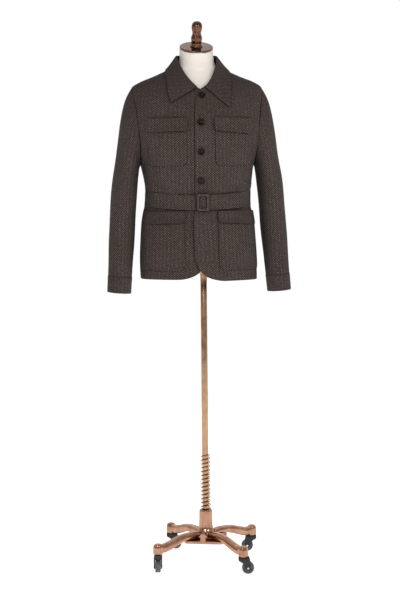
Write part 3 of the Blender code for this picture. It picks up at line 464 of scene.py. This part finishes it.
# The fronts' neckline is eased up in the middle, to meet the collar's ends
NECK_RISE = 0.0042
NECK_ENDS = (1.535, 1.566)
NECK_SIDES = (0.022, 0.045)
# The left front's free edge swings over the right one below the belt, and stands off it
LAP_EDGE = -0.012
LAP_ENDS = (1.150, 1.195)
LAP_SWING = 0.0050
LAP_SIDES = (0.020, 0.070)
LAP_STAND = 0.0026
LAP_ROLL = (0.004, 0.024)
SIDE_SCALE = 0.165


def stroke(across, up, row, scale):
    """Give the push of one crease at each point, fading out at both of its ends."""
    from_a, from_z, to_a, to_z, half, depth = row
    start = np.array((from_a * scale, from_z))
    way = np.array((to_a * scale, to_z)) - start
    length = np.linalg.norm(way)
    along = ((across * scale - start[0]) * way[0] + (up - start[1]) * way[1]) / length
    off = ((across * scale - start[0]) * way[1] - (up - start[1]) * way[0]) / length
    share = np.clip(along / length, 0.0, 1.0)
    beyond = along - share * length
    fade = np.sin(np.pi * np.clip(share, 0.04, 0.96)) ** 0.7
    return depth * fade * np.exp(-(off / half) ** 2 - (beyond / half) ** 2)


def body_push(points):
    """Give how far the jacket's body is pushed out at each point, so that all that lies on it follows."""
    turn = np.degrees(np.arctan2(points[:, 0], -points[:, 1]))
    up = points[:, 2]
    total = np.zeros(len(points))
    for row in BODY_CREASES:
        total += stroke(turn, up, row, SIDE_SCALE * math.pi / 180)
    for waves, rate, phase, depth in BODY_WAVES:
        total += depth * np.sin(np.radians(turn) * waves + up * rate * 2 * math.pi + phase)
    return total * (1 - eased(*SHOULDER_CALM, up))


def outer_shell(node, name, wall, middle=None):
    """Make an open sheet from the outer face of a CAD cloth wall."""
    shape = bmesh.new()
    shape.from_mesh(nodes[node].data)
    bmesh.ops.remove_doubles(shape, verts=shape.verts, dist=MERGE_NEAR)
    rim = [f for f in shape.faces if any(abs(e.calc_length() - wall) < WALL_NEAR for e in f.edges)]
    bmesh.ops.delete(shape, geom=rim, context="FACES")
    left = set(shape.faces)
    best, best_score = None, 0.0
    while left:
        island, front = set(), [next(iter(left))]
        while front:
            face = front.pop()
            if face in island:
                continue
            island.add(face)
            front += [other for edge in face.edges for other in edge.link_faces if other not in island]
        left -= island
        score = 0.0
        for face in island:
            centre = face.calc_center_median()
            inside = middle or Vector((0.0, 0.0, centre.z))
            score += face.calc_area() * face.normal.dot(centre - inside)
        if best is None or score > best_score:
            best, best_score = island, score
    bmesh.ops.delete(shape, geom=[f for f in shape.faces if f not in best], context="FACES")
    bmesh.ops.join_triangles(
        shape, faces=shape.faces, angle_face_threshold=math.pi, angle_shape_threshold=math.pi,
    )
    crease = shape.verts.layers.float.new("crease_vert")
    for corner in shape.verts:
        rims = [e.other_vert(corner).co - corner.co for e in corner.link_edges if e.is_boundary]
        at_seam = corner.co.y > 0 and abs(corner.co.x) < SEAM_NEAR
        if len(rims) == 2 and (at_seam or rims[0].angle(rims[1]) < SHARP_CORNER):
            corner[crease] = 1.0
    mesh = bpy.data.meshes.new(name)
    shape.to_mesh(mesh)
    shape.free()
    piece = bpy.data.objects.new(name, mesh)
    bpy.context.scene.collection.objects.link(piece)
    return piece


def lay_flat(piece, seam_at=None):
    """Unwrap a sheet to its flat cut in metres, with the grain up, along a seam where it is a tube."""
    pick(piece)
    bpy.ops.object.mode_set(mode="EDIT")
    bpy.ops.mesh.select_mode(type="EDGE")
    if seam_at is not None:
        bpy.ops.mesh.select_all(action="DESELECT")
        shape = bmesh.from_edit_mesh(piece.data)
        rims = [e for v in shape.verts if v.is_boundary for e in v.link_edges if not e.is_boundary]
        first = min(rims, key=lambda e: (sum((v.co for v in e.verts), Vector()) / 2 - seam_at).length)
        first.select_set(True)
        bmesh.update_edit_mesh(piece.data)
        bpy.ops.mesh.loop_multi_select(ring=False)
        bpy.ops.mesh.mark_seam(clear=False)
    bpy.ops.mesh.select_all(action="SELECT")
    bpy.ops.uv.unwrap(method="ANGLE_BASED", margin=0.0)
    bpy.ops.object.mode_set(mode="OBJECT")
    mesh = piece.data
    layer = mesh.uv_layers.active.data
    flat = np.array([corner.uv[:] for corner in layer])
    height = np.array([mesh.vertices[loop.vertex_index].co.z for loop in mesh.loops])
    area = 0.0
    for face in mesh.polygons:
        corners = flat[face.loop_start:face.loop_start + face.loop_total]
        x, y = corners[:, 0], corners[:, 1]
        area += 0.5 * abs(np.dot(x, np.roll(y, -1)) - np.dot(y, np.roll(x, -1)))
    flat *= math.sqrt(sum(face.area for face in mesh.polygons) / area)
    flat -= flat.mean(axis=0)
    slope = np.linalg.lstsq(flat, height - height.mean(), rcond=None)[0]
    up = slope / np.linalg.norm(slope)
    flat = np.stack([flat @ np.array((up[1], -up[0])), flat @ up], axis=1)
    for corner, place in zip(layer, flat):
        corner.uv = place


def soften(piece, push, press=None):
    """Subdivide a sheet and push it out along its normals by the creases."""
    change(
        piece, "SUBSURF", levels=CLOTH_LEVELS, render_levels=CLOTH_LEVELS,
        boundary_smooth="PRESERVE_CORNERS", uv_smooth="PRESERVE_BOUNDARIES",
    )
    mesh = piece.data
    points = np.array([vertex.co[:] for vertex in mesh.vertices])
    normals = np.array([vertex.normal[:] for vertex in mesh.vertices])
    shift = push(points)
    if press:
        shift = shift + press(piece, points)
    mesh.vertices.foreach_set("co", (points + normals * shift[:, None]).ravel())
    drop_shoulders(piece)


def edge_loops(piece):
    """Give the sheet's edges as ordered loops of vertex numbers."""
    shape = bmesh.new()
    shape.from_mesh(piece.data)
    shape.edges.index_update()
    left = {edge.index: edge for edge in shape.edges if edge.is_boundary}
    loops = []
    while left:
        edge = left.pop(next(iter(left)))
        loop = [edge.verts[0].index, edge.verts[1].index]
        tip = edge.verts[1]
        while True:
            following = [e for e in tip.link_edges if e.index in left]
            if not following:
                break
            left.pop(following[0].index)
            tip = following[0].other_vert(tip)
            loop.append(tip.index)
        loops.append(loop[:-1] if loop[0] == loop[-1] else loop)
    shape.free()
    return loops


def finish_cloth(piece, wall, rounding=0.0007):
    """Give a sheet its thickness inwards and round its edges."""
    change(piece, "SOLIDIFY", thickness=wall, offset=-1.0, use_even_offset=False)
    change(piece, "BEVEL", width=rounding, segments=2, limit_method="ANGLE", angle_limit=math.radians(55))
    bpy.ops.object.shade_smooth()


def wool(name, painted_light_lift=1.0):
    """Make the wool: staggered pale specks on brown, stronger in every third column, with a short nap, and
    with painted shade in its hollows and on its up-facing surfaces.
    """
    made = Shader(name)
    place = made.add("UVMap", {})
    wander = made.add("TexNoise", {"Vector": place, "Scale": 240.0, "Detail": 1.0}, output=1)
    wander = made.add("VectorMath", {0: wander, 1: (0.5, 0.5, 0.5)}, operation="SUBTRACT")
    wander = made.add("VectorMath", {0: wander, "Scale": 0.0016}, operation="SCALE")
    place = made.add("VectorMath", {0: place, 1: wander}, operation="ADD")
    parts = made.tree.nodes.new("ShaderNodeSeparateXYZ")
    made.put(parts.inputs[0], place)
    up = made.math("DIVIDE", parts.outputs[1], DOT_UP)
    row = made.math("FLOOR", up)
    odd = made.math("FLOORED_MODULO", row, 2.0)
    across = made.math("DIVIDE", parts.outputs[0], DOT_ACROSS)
    across = made.math("ADD", across, made.math("MULTIPLY", odd, 0.5))
    in_x = made.math("SUBTRACT", made.math("FRACT", across), 0.5)
    in_x = made.math("MULTIPLY", in_x, DOT_ACROSS * DOT_SHAPE[0])
    in_y = made.math("SUBTRACT", made.math("FRACT", up), 0.5)
    in_y = made.math("MULTIPLY", in_y, DOT_UP * DOT_SHAPE[1])
    away = made.math("SQRT", made.math("ADD", made.math("POWER", in_x, 2.0), made.math("POWER", in_y, 2.0)))
    speck = made.ramp(away, 0.0006, 0.0020, 1.0, 0.0, "SMOOTHSTEP")
    uneven = made.noise(place, 210.0, 1.0)
    warp = made.math("SINE", made.math("MULTIPLY", parts.outputs[0], 2 * math.pi / 0.0013))
    weft = made.math("SINE", made.math("MULTIPLY", parts.outputs[1], 2 * math.pi / 0.0010))
    weave = made.math("MULTIPLY", warp, weft)
    speck = made.math("MULTIPLY", speck, made.ramp(uneven, 0.32, 0.68, 0.15, 1.0))
    speck = made.math("MULTIPLY", speck, made.ramp(weave, -0.6, 0.5, 0.3, 1.0))
    column = made.math("COSINE", made.math("MULTIPLY", parts.outputs[0], 2 * math.pi / (1.5 * DOT_ACROSS)))
    speck = made.math("MULTIPLY", speck, made.ramp(column, -1.0, 1.0, 0.5, 1.1))
    # Painted shade: the pale specks fade to about a third on up-facing surfaces, so tops such as the
    # shoulders and collar read darker.
    tilt = made.tree.nodes.new("ShaderNodeSeparateXYZ")
    made.put(tilt.inputs[0], made.add("TexCoord", {}, output=1))
    speck = made.math("MULTIPLY", speck, made.ramp(tilt.outputs[2], 0.10, 0.52, 1.0, 0.35))
    slow = made.noise(place, 9.0, 3.0)
    warm, cool, deep = (tuple(painted_light_lift * value for value in linear(*tone)) for tone in WOOL_TONES)
    ground = made.blend(made.ramp(slow, 0.3, 0.7, 0.0, 1.0), warm, cool)
    ground = made.blend(made.ramp(weave, -1.0, 1.0, 0.0, 0.35), ground, deep)
    colour = made.blend(speck, ground, linear(*SPECK_TONE))
    # Painted shade: where ambient occlusion finds a hollow, the wool's colour is blended towards a dark tone.
    for reach, open_from, open_to, dark in HOLLOWS:
        hollow = made.add("AmbientOcclusion", {"Distance": reach}, output=1, samples=6)
        shade = linear(dark, 0.85 * dark, 0.78 * dark)
        colour = made.blend(made.ramp(hollow, open_from, open_to, 0.0, 1.0), shade, colour)
    made.set(Base_Color=colour, Roughness=0.94, Sheen_Weight=0.06)
    made.set(Sheen_Roughness=0.5, Specular_IOR_Level=0.15)
    nap = made.noise(place, 1300.0, 2.0)
    height = made.math("ADD", made.math("MULTIPLY", weave, 0.5), made.math("MULTIPLY", nap, 0.8))
    made.bump(made.math("ADD", height, made.math("MULTIPLY", speck, 0.4)), 0.35, 0.0006)
    return made.material


WOOL = wool("speckled_wool")
# Flat cut of each panel in metres. Columns: node, width, length, area
PANEL_CUTS = (
    ("back_left", 0.272, 0.761, 0.167), ("back_right", 0.272, 0.755, 0.166),
    ("front_right", 0.284, 0.748, 0.172), ("front_left", 0.285, 0.755, 0.175),
)
for node, width, length, area in PANEL_CUTS:
    panel = outer_shell(node, node + "_panel", PANEL_WALL)
    lay_flat(panel)
    soften(panel, body_push)
    if node.startswith("front"):
        for vertex in panel.data.vertices:
            near = 1 - eased(*NECK_SIDES, abs(vertex.co.x))
            vertex.co.z += NECK_RISE * near * eased(*NECK_ENDS, vertex.co.z)
            if node == "front_left":
                off, below = abs(vertex.co.x - LAP_EDGE), 1 - eased(*LAP_ENDS, vertex.co.z)
                vertex.co.x -= LAP_SWING * (1 - eased(*LAP_SIDES, off)) * below
                vertex.co.y -= LAP_STAND * (1 - eased(*LAP_ROLL, off)) * below
    finish_cloth(panel, PANEL_WALL)
    settle(panel, "mast", WOOL, "wool", node)


# Sleeves and cuffs: each sleeve is one tube eased into the armhole, with a cuff band sewn to its end.
# They hang a little forward, with soft folds inside the elbow.
# The tube's middle. Columns: height, distance out, distance forward
SLEEVE_MIDDLE = (
    (0.915, 0.2645, 0.036), (0.995, 0.2590, 0.023), (1.075, 0.2535, 0.012), (1.155, 0.2485, 0.004),
    (1.236, 0.2430, 0.001), (1.296, 0.2365, 0.000), (1.450, 0.2230, 0.000),
)
# Soft creases. Columns: side, turn in degrees from the outer side to the front and height at one end,
# the same at the other end, half width, depth
SLEEVE_CREASES = (
    (-1, 128, 1.250, 60, 1.205, 0.012, -0.0022),
    (-1, 150, 1.215, 78, 1.165, 0.013, 0.0018),
    (-1, 140, 1.170, 70, 1.128, 0.011, -0.0018),
    (-1, 40, 1.420, 60, 1.300, 0.014, -0.0014),
    (-1, 20, 1.130, 34, 0.995, 0.014, 0.0014),
    (-1, -60, 1.290, -120, 1.210, 0.014, -0.0024),
    (-1, -70, 1.200, -125, 1.140, 0.013, 0.0018),
    (1, 122, 1.240, 56, 1.196, 0.012, -0.0022),
    (1, 146, 1.196, 80, 1.150, 0.013, 0.0018),
    (1, 136, 1.152, 72, 1.112, 0.011, -0.0016),
    (1, 46, 1.410, 62, 1.290, 0.014, -0.0014),
    (1, 24, 1.120, 30, 0.990, 0.014, 0.0012),
    (1, -64, 1.286, -118, 1.204, 0.014, -0.0022),
    (1, -72, 1.196, -128, 1.136, 0.013, 0.0018),
)
# Slow unevenness of the hanging sleeve: depth, rate of its turn up the sleeve, rate of its rise and fall
SLEEVE_WAVE = (0.0009, 17.0, 23.0)
SLEEVE_SCALE = 0.052
CAP_CALM = (1.40, 1.47)
CUFF_CALM = (0.985, 1.03)
# The under-arm seam's distance out and its place front to back
SEAM_PLACE = (0.222, -0.030)
STITCH_LENGTH = 0.0027
STITCH_PITCH = 0.0036
STITCH_IN = 0.0060
# A row of stitches ends where its line comes this near an edge, as a share of its inset, or jumps this far
ROW_CLEAR = 0.94
ROW_BREAK = 0.02
# A stitch's outline. Columns: share of its length, half thickness
STITCH_RINGS = ((-0.5, 0.00006), (-0.3, 0.00034), (0.3, 0.00034), (0.5, 0.00006))
STITCH_SIDES = 5
STITCH_SUNK = 0.00010


def sleeve_push(side):
    """Give the function of how far a sleeve is pushed out at each point."""
    heights, outs, forwards = np.array(SLEEVE_MIDDLE).T
    depth, twist_rate, swell_rate = SLEEVE_WAVE

    def push(points):
        up = points[:, 2]
        outward = side * points[:, 0] - np.interp(up, heights, outs)
        forward = -points[:, 1] - np.interp(up, heights, forwards)
        turn = np.degrees(np.arctan2(forward, outward))
        total = depth * np.sin(np.radians(turn) * 2 + up * twist_rate + side) * np.sin(up * swell_rate + side)
        for row in SLEEVE_CREASES:
            if row[0] == side:
                total += stroke(turn, up, row[1:], SLEEVE_SCALE * math.pi / 180)
        return total * (1 - eased(*CAP_CALM, up)) * eased(*CUFF_CALM, up)

    return push


def seam_runs(piece, inset, wanted):
    """Give lines that run inside the sheet's edges, as places, ways along and normals."""
    mesh = piece.data
    points = [vertex.co.copy() for vertex in mesh.vertices]
    surface = BVHTree.FromPolygons(points, [face.vertices[:] for face in mesh.polygons])
    loops = edge_loops(piece)
    rim = KDTree(sum(len(loop) for loop in loops))
    for index in [index for loop in loops for index in loop]:
        rim.insert(points[index], index)
    rim.balance()
    toward = {}
    for face in mesh.polygons:
        for index in face.vertices:
            toward.setdefault(index, Vector())
            toward[index] += face.center - points[index]
    runs = []
    for loop in loops:
        run = []
        for step, index in enumerate(loop):
            here = points[index]
            normal = mesh.vertices[index].normal
            way = (points[loop[(step + 1) % len(loop)]] - points[loop[step - 1]]).normalized()
            inward = normal.cross(way)
            if inward.dot(toward[index]) < 0:
                inward = -inward
            place, face_normal, _, _ = surface.find_nearest(here + inward * inset)
            clear = rim.find(place)[2] > ROW_CLEAR * inset
            if clear and wanted(here, normal):
                if run and (place - run[-1][0]).length > ROW_BREAK:
                    runs.append(run)
                    run = []
                run.append((place, face_normal))
        if run:
            if runs and len(loops) == 1 and (runs[0][0][0] - run[-1][0]).length < ROW_BREAK:
                runs[0] = run + runs[0]
            else:
                runs.append(run)
    return [run for run in runs if len(run) > 3]


def sew(piece, name, inset=STITCH_IN, wanted=lambda place, normal: True):
    """Sew a row of stitches inside the sheet's edges, all in one mesh."""
    spots, ways, ups = [], [], []
    for run in seam_runs(piece, inset, wanted):
        line = np.array([place[:] for place, _ in run])
        normals = np.array([normal[:] for _, normal in run])
        reach = np.concatenate([[0.0], np.cumsum(np.linalg.norm(np.diff(line, axis=0), axis=1))])
        at = np.arange(STITCH_PITCH / 2, reach[-1], STITCH_PITCH)
        spots.append(np.stack([np.interp(at, reach, line[:, axis]) for axis in range(3)], axis=1))
        ups.append(np.stack([np.interp(at, reach, normals[:, axis]) for axis in range(3)], axis=1))
        before = np.stack([np.interp(at - 0.001, reach, line[:, axis]) for axis in range(3)], axis=1)
        after = np.stack([np.interp(at + 0.001, reach, line[:, axis]) for axis in range(3)], axis=1)
        ways.append(after - before)
    return thread_mesh(name, np.concatenate(spots), np.concatenate(ways), np.concatenate(ups), STITCH_LENGTH)


def thread_mesh(name, spots, ways, ups, length, thick=1.0):
    """Make one mesh of many short threads that lie half sunk in the cloth."""
    ways = ways / np.linalg.norm(ways, axis=1)[:, None]
    sides = np.cross(ups, ways)
    sides /= np.linalg.norm(sides, axis=1)[:, None]
    ups = np.cross(ways, sides)
    points = []
    for share, half in STITCH_RINGS:
        for side in range(STITCH_SIDES):
            angle = 2 * math.pi * side / STITCH_SIDES
            lift = thick * half * math.sin(angle) + STITCH_SUNK
            points.append(spots + ways * share * length + sides * thick * half * math.cos(angle) + ups * lift)
    per = len(points)
    points = np.stack(points, axis=1).reshape(-1, 3)
    faces = []
    for row in range(len(STITCH_RINGS) - 1):
        for side in range(STITCH_SIDES):
            after = (side + 1) % STITCH_SIDES
            low, high = row * STITCH_SIDES, (row + 1) * STITCH_SIDES
            faces.append((low + side, low + after, high + after, high + side))
    faces = (np.array(faces)[None] + (np.arange(len(spots)) * per)[:, None, None]).reshape(-1, 4)
    mesh = bpy.data.meshes.new(name)
    mesh.from_pydata(points, [], faces.tolist())
    mesh.shade_smooth()
    made = bpy.data.objects.new(name, mesh)
    bpy.context.scene.collection.objects.link(made)
    settle(made, "mast", THREAD, "wool")
    return made


def twist(name, colour, dark):
    """Make a twisted thread."""
    made = Shader(name)
    place = made.add("TexCoord", {}, output=3)
    fibre = made.noise(place, 2600.0, 2.0)
    made.set(Base_Color=made.blend(made.ramp(fibre, 0.35, 0.65, 0.0, 1.0), dark, colour), Roughness=0.8)
    return made.material


# The thread is a little paler than the wool: partly the thread's own colour, and partly a painted highlight
# along the sewn edges of the flaps, pockets, collar and belt.
THREAD = twist("brown_thread", linear(80, 70, 65), linear(58, 49, 45))

# Flat cut of each in metres. Columns: node, width, length, area, what it hangs from
ARM_CUTS = (
    ("sleeve", 0.354, 0.627, 0.160, ("front_{}_panel", "back_{}_panel")),
    ("cuff", 0.285, 0.071, 0.0148, ("sleeve_{}_cloth",)),
)
for side, hand in ((1, "left"), (-1, "right")):
    for kind, width, length, area, holders in ARM_CUTS:
        node = f"{kind}_{hand}"
        low, high = (Vector(corner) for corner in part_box(node))
        tube = outer_shell(node, node + "_cloth", PANEL_WALL, (low + high) / 2)
        lay_flat(tube, Vector((side * SEAM_PLACE[0], SEAM_PLACE[1], low.z)))
        soften(tube, sleeve_push(side))
        rows = [sew(tube, node + "_stitches")] if kind == "cuff" else []
        finish_cloth(tube, PANEL_WALL)
        settle(tube, "mast", WOOL, "wool", node)


# Collar: one folded strip with long points, sewn to the neckline and turned down over the shoulders.
# It is pressed flat, with a row of stitches along its free edges.
PATCH_WALL = 0.0015


def to_edge(piece, points):
    """Give each point's distance from the sheet's edge."""
    rim = KDTree(len(points))
    for loop in edge_loops(piece):
        for index in loop:
            rim.insert(points[index], index)
    rim.balance()
    return np.array([rim.find(point)[2] for point in points])


collar = outer_shell("collar", "collar_cloth", PATCH_WALL)
lay_flat(collar)
soften(collar, lambda points: np.zeros(len(points)))
rows = sew(collar, "collar_stitches", wanted=lambda place, out: out.x * place.x + out.y * place.y > 0)
finish_cloth(collar, PATCH_WALL)
settle(collar, "mast", WOOL, "wool", "collar")
panels = [row[0] + "_panel" for row in PANEL_CUTS]


# Patch pockets and flaps: four squares of the same wool sewn on the fronts, each under a flap.
# Their sewn edges are pressed down, and the flaps' free edges stand off a little.
EDGE_PRESS = 0.0009
PRESS_REACH = 0.007
FLAP_STAND = 0.0034
OPEN_TOP = 0.004
OPEN_FADE = 0.012
SIDE_TUCK = 0.0019
SIDE_ENDS = (0.140, 0.170)


def pocket_press(piece, points):
    """Press a pocket's sewn edges down on the front."""
    top = points[:, 2].max()
    open_top = eased(top - OPEN_FADE, top - OPEN_TOP, points[:, 2])
    return -EDGE_PRESS * (1 - eased(0.0, PRESS_REACH, to_edge(piece, points))) * (1 - open_top)


def flap_press(piece, points):
    """Press a flap down along its top and round the body's side, and let its free edge stand off."""
    share = (points[:, 2] - points[:, 2].min()) / np.ptp(points[:, 2])
    side = eased(*SIDE_ENDS, np.abs(points[:, 0]))
    stand = FLAP_STAND * (1 - eased(0.0, 0.5, share)) - EDGE_PRESS * eased(0.7, 1.0, share)
    return stand * (1 - side) - SIDE_TUCK * side


# Flat cut of each in metres. Columns: node, how it is pressed, width, length, area, what it lies on
PATCH_CUTS = (
    ("chest_pocket_left", pocket_press, 0.137, 0.143, 0.0183, "front_left_panel"),
    ("chest_pocket_right", pocket_press, 0.137, 0.143, 0.0182, "front_right_panel"),
    ("lower_pocket_left", pocket_press, 0.179, 0.183, 0.0310, "front_left_panel"),
    ("lower_pocket_right", pocket_press, 0.178, 0.183, 0.0309, "front_right_panel"),
    ("chest_flap_left", flap_press, 0.136, 0.053, 0.0063, "chest_pocket_left_cloth"),
    ("chest_flap_right", flap_press, 0.136, 0.047, 0.0059, "chest_pocket_right_cloth"),
    ("lower_flap_left", flap_press, 0.177, 0.048, 0.0074, "lower_pocket_left_cloth"),
    ("lower_flap_right", flap_press, 0.176, 0.045, 0.0070, "lower_pocket_right_cloth"),
)
for node, press, width, length, area, under in PATCH_CUTS:
    patch = outer_shell(node, node + "_cloth", PATCH_WALL)
    lay_flat(patch)
    soften(patch, body_push, press)
    top = max(vertex.co.z for vertex in patch.data.vertices) - OPEN_TOP
    rows = sew(patch, node + "_stitches", wanted=lambda place, normal: place.z < top)
    finish_cloth(patch, PATCH_WALL, 0.0005)
    settle(patch, "mast", WOOL, "wool", node)


# Belt and buckle: a strip of the wool sewn double round the waist, its pointed end laid over it.
# It goes through a stiff rectangular buckle that is covered in the same cloth.
BELT_TUCK = 0.0018
BELT_PRESS = 0.0011
BELT_RIM = 0.010
BELT_MIDDLE = 1.215
BELT_STITCH_IN = 0.0050


def belt_press(piece, points):
    """Draw the belt in at the sides and along its upper edge."""
    rim = 1 - eased(0.0, BELT_RIM, to_edge(piece, points))
    upper = points[:, 2] > BELT_MIDDLE
    return -BELT_TUCK * eased(*SIDE_ENDS, np.abs(points[:, 0])) - BELT_PRESS * rim * upper


# Flat cut of each in metres. Columns: node, its seam's place, how it is held, width, length, area,
# what it lies on
BELT_CUTS = (
    ("belt", Vector((0.0, 0.12, 1.18)), "stretched", 0.962, 0.065, 0.0470, panels),
    ("belt_end", None, "laid", 0.163, 0.055, 0.0077, ["belt_cloth"]),
)
for node, seam_at, held, width, length, area, under in BELT_CUTS:
    strip = outer_shell(node, node + "_cloth", PANEL_WALL)
    lay_flat(strip, seam_at)
    soften(strip, body_push, belt_press)
    rows = sew(strip, node + "_stitches", BELT_STITCH_IN)
    finish_cloth(strip, PANEL_WALL)
    settle(strip, "mast", WOOL, "wool", node)

buckle = copy_of("buckle", "covered_buckle")
rounded(buckle, 0.3)
bpy.ops.object.mode_set(mode="EDIT")
bpy.ops.mesh.select_all(action="SELECT")
bpy.ops.uv.cube_project(cube_size=1.0, correct_aspect=False)
bpy.ops.object.mode_set(mode="OBJECT")
# Painted highlight: the buckle's cloth is one and a half times paler than the same wool elsewhere, standing
# in for the light on its bars.
settle(buckle, "mast", wool("buckle_wool", 1.5), "wool", "buckle")


# Buttons: four dark horn-look buttons, turned with a raised rim and drilled with four holes.
# Each is sewn to the left front with a cross of thread.
BUTTON_RADIUS = 0.0105
BUTTON_THICK = 0.0036
HOLE_OFF = 0.0021
HOLE_RADIUS = 0.0010
# Steps of a button's face, from its rim inwards. Columns: width, height
BUTTON_STEPS = ((0.0019, 0.0), (0.0011, -0.0011), (0.0030, -0.0002))
THREAD_LEVEL = 0.0007
THREAD_LENGTH = 2.9 * HOLE_OFF
THREAD_THICK = 2.2


def horn(name):
    """Make polished dark horn with cloudy streaks."""
    made = Shader(name)
    place = made.add("TexCoord", {}, output=3)
    cloud = made.noise(place, 190.0, 4.0)
    made.set(Base_Color=made.blend(made.ramp(cloud, 0.4, 0.7, 0.0, 1.0), linear(8, 6, 6), linear(24, 18, 15)))
    made.set(Roughness=made.ramp(cloud, 0.3, 0.7, 0.14, 0.24))
    made.set(Specular_IOR_Level=0.3, Specular_Tint=linear(255, 226, 206))
    return made.material


HORN = horn("dark_horn")
bpy.ops.object.select_all(action="DESELECT")
bpy.ops.mesh.primitive_cylinder_add(vertices=40, radius=BUTTON_RADIUS, depth=BUTTON_THICK)
button = bpy.context.object
button.name = "horn_button_1"
bpy.ops.object.mode_set(mode="EDIT")
bpy.ops.mesh.select_mode(type="FACE")
shape = bmesh.from_edit_mesh(button.data)
for face in shape.faces:
    face.select_set(face.normal.z > 0.9)
bmesh.update_edit_mesh(button.data)
for width, height in BUTTON_STEPS:
    bpy.ops.mesh.inset(thickness=width, depth=height)
bpy.ops.object.mode_set(mode="OBJECT")
ease_edges(button, 0.0009, 3, 30)
bpy.ops.object.select_all(action="DESELECT")
for x, y in ((1, 1), (1, -1), (-1, 1), (-1, -1)):
    bpy.ops.mesh.primitive_cylinder_add(
        vertices=14, radius=HOLE_RADIUS, depth=4 * BUTTON_THICK, location=(x * HOLE_OFF, y * HOLE_OFF, 0),
    )
    drill = bpy.context.object
    change(button, "BOOLEAN", operation="DIFFERENCE", solver="EXACT", object=drill)
    bpy.data.objects.remove(drill)
plain_button = button.data.copy()
for number in (1, 2, 3, 4):
    points = np.array([vertex.co[:] for vertex in nodes[f"button_{number}"].data.vertices])
    centre = (points.max(axis=0) + points.min(axis=0)) / 2
    out = np.linalg.svd(points - points.mean(axis=0))[2][2]
    out = Vector(out if out[1] < 0 else -out)
    face_out = Matrix.Translation(centre) @ out.to_track_quat("Z", "Y").to_matrix().to_4x4()
    if number > 1:
        button = bpy.data.objects.new(f"horn_button_{number}", plain_button.copy())
        bpy.context.scene.collection.objects.link(button)
    button.data.transform(face_out)
    settle(button, "mast", HORN, "button", f"button_{number}")
    spots = np.array([face_out @ Vector((0, 0, THREAD_LEVEL))] * 2)
    ways = np.array([(face_out.to_3x3() @ Vector((1, side, 0)))[:] for side in (1, -1)])
    ups = np.array([out[:]] * 2)
    thread_mesh(f"button_{number}_thread", spots, ways, ups, THREAD_LENGTH, THREAD_THICK)


# Floor, light and camera: a white sweep under soft studio light from the front, in a room that is dim behind.
# The camera stands a little to the wearer's right, as in the photograph.
FLOOR_SIDE = 40.0
FLOOR_GLOW = 0.72
bpy.ops.object.select_all(action="DESELECT")
bpy.ops.mesh.primitive_plane_add(size=FLOOR_SIDE)
floor = bpy.context.object
floor.name = "floor"
ground = Shader("floor_white")
cloudy = ground.noise(ground.add("TexCoord", {}, output=3), 0.6, 2.0)
ground.set(Base_Color=ground.blend(cloudy, (0.86, 0.86, 0.86, 1.0), (0.9, 0.9, 0.9, 1.0)), Roughness=0.9)
ground.set(Emission_Color=(1.0, 1.0, 1.0, 1.0), Emission_Strength=FLOOR_GLOW)
floor.data.materials.append(ground.material)

scene = bpy.context.scene
scene.view_settings.view_transform = "Standard"
world = bpy.data.worlds.new("studio")
scene.world = world
world.use_nodes = True
room = world.node_tree
# Brightness of the room. Columns: kind of ray, where its lit side is, where that begins, far side, lit side
ROOM = (
    ("Is Diffuse Ray", (0.10, -0.98, -0.18), 0.0, 0.08, 1.64),
    ("Is Glossy Ray", (0.10, 0.90, 0.40), -0.35, 0.34, 0.95),
)
ray = room.nodes.new("ShaderNodeLightPath")
way = room.nodes.new("ShaderNodeTexCoord")
strength = None
for kind, lit_from, begins, far, lit in ROOM:
    facing = room.nodes.new("ShaderNodeVectorMath")
    facing.operation = "DOT_PRODUCT"
    facing.inputs[1].default_value = lit_from
    room.links.new(way.outputs["Generated"], facing.inputs[0])
    spread = room.nodes.new("ShaderNodeMapRange")
    spread.interpolation_type = "SMOOTHSTEP"
    room.links.new(facing.outputs["Value"], spread.inputs[0])
    for socket, value in zip(spread.inputs[1:5], (begins, 1.0, far, lit)):
        socket.default_value = value
    choose = room.nodes.new("ShaderNodeMix")
    room.links.new(ray.outputs[kind], choose.inputs[0])
    choose.inputs[2].default_value = 1.0
    if strength:
        room.links.new(strength, choose.inputs[2])
    room.links.new(spread.outputs[0], choose.inputs[3])
    strength = choose.outputs[0]
room.links.new(strength, room.nodes["Background"].inputs[1])
room.nodes["Background"].inputs[0].default_value = (1.0, 1.0, 1.0, 1.0)

# Lamps. Columns: name, place, size, power, falls on cloth, gives a glint
LIGHTS = (
    ("key", (1.6, -2.6, 2.3), 0.5, 12.0, True, True),
    ("fill", (-1.5, -3.0, 2.0), 0.4, 4.0, True, True),
    ("behind", (0.5, 3.0, 1.35), 0.6, 36.0, True, False),
    ("glint", (-0.9, -3.2, 2.6), 0.35, 24.0, False, True),
)
LIT_MIDDLE = Vector((0.0, 0.0, 1.1))
for name, place, size, power, falls, glints in LIGHTS:
    lamp = bpy.data.objects.new(name, bpy.data.lights.new(name, "AREA"))
    scene.collection.objects.link(lamp)
    lamp.data.size = size
    lamp.data.energy = power
    lamp.visible_diffuse = falls
    lamp.visible_glossy = glints
    toward = LIT_MIDDLE - Vector(place)
    lamp.matrix_world = Matrix.Translation(place) @ toward.to_track_quat("-Z", "Y").to_matrix().to_4x4()

CAMERA_TURN = math.radians(-5.65)
CAMERA_AWAY = 4.5
CAMERA_ACROSS = 0.0045
CAMERA_HEIGHT = 1.273
CAMERA_PITCH = math.radians(4.96)
CAMERA_ROLL = math.radians(-0.54)
CAMERA_LENS = 81.62
camera = bpy.data.objects.new("camera", bpy.data.cameras.new("camera"))
scene.collection.objects.link(camera)
camera.data.lens = CAMERA_LENS
spin = Matrix.Rotation(CAMERA_TURN, 4, "Z")
aim = Matrix.Rotation(math.pi / 2 - CAMERA_PITCH, 4, "X") @ Matrix.Rotation(CAMERA_ROLL, 4, "Z")
camera.matrix_world = spin @ Matrix.Translation((CAMERA_ACROSS, -CAMERA_AWAY, CAMERA_HEIGHT)) @ aim
scene.camera = camera
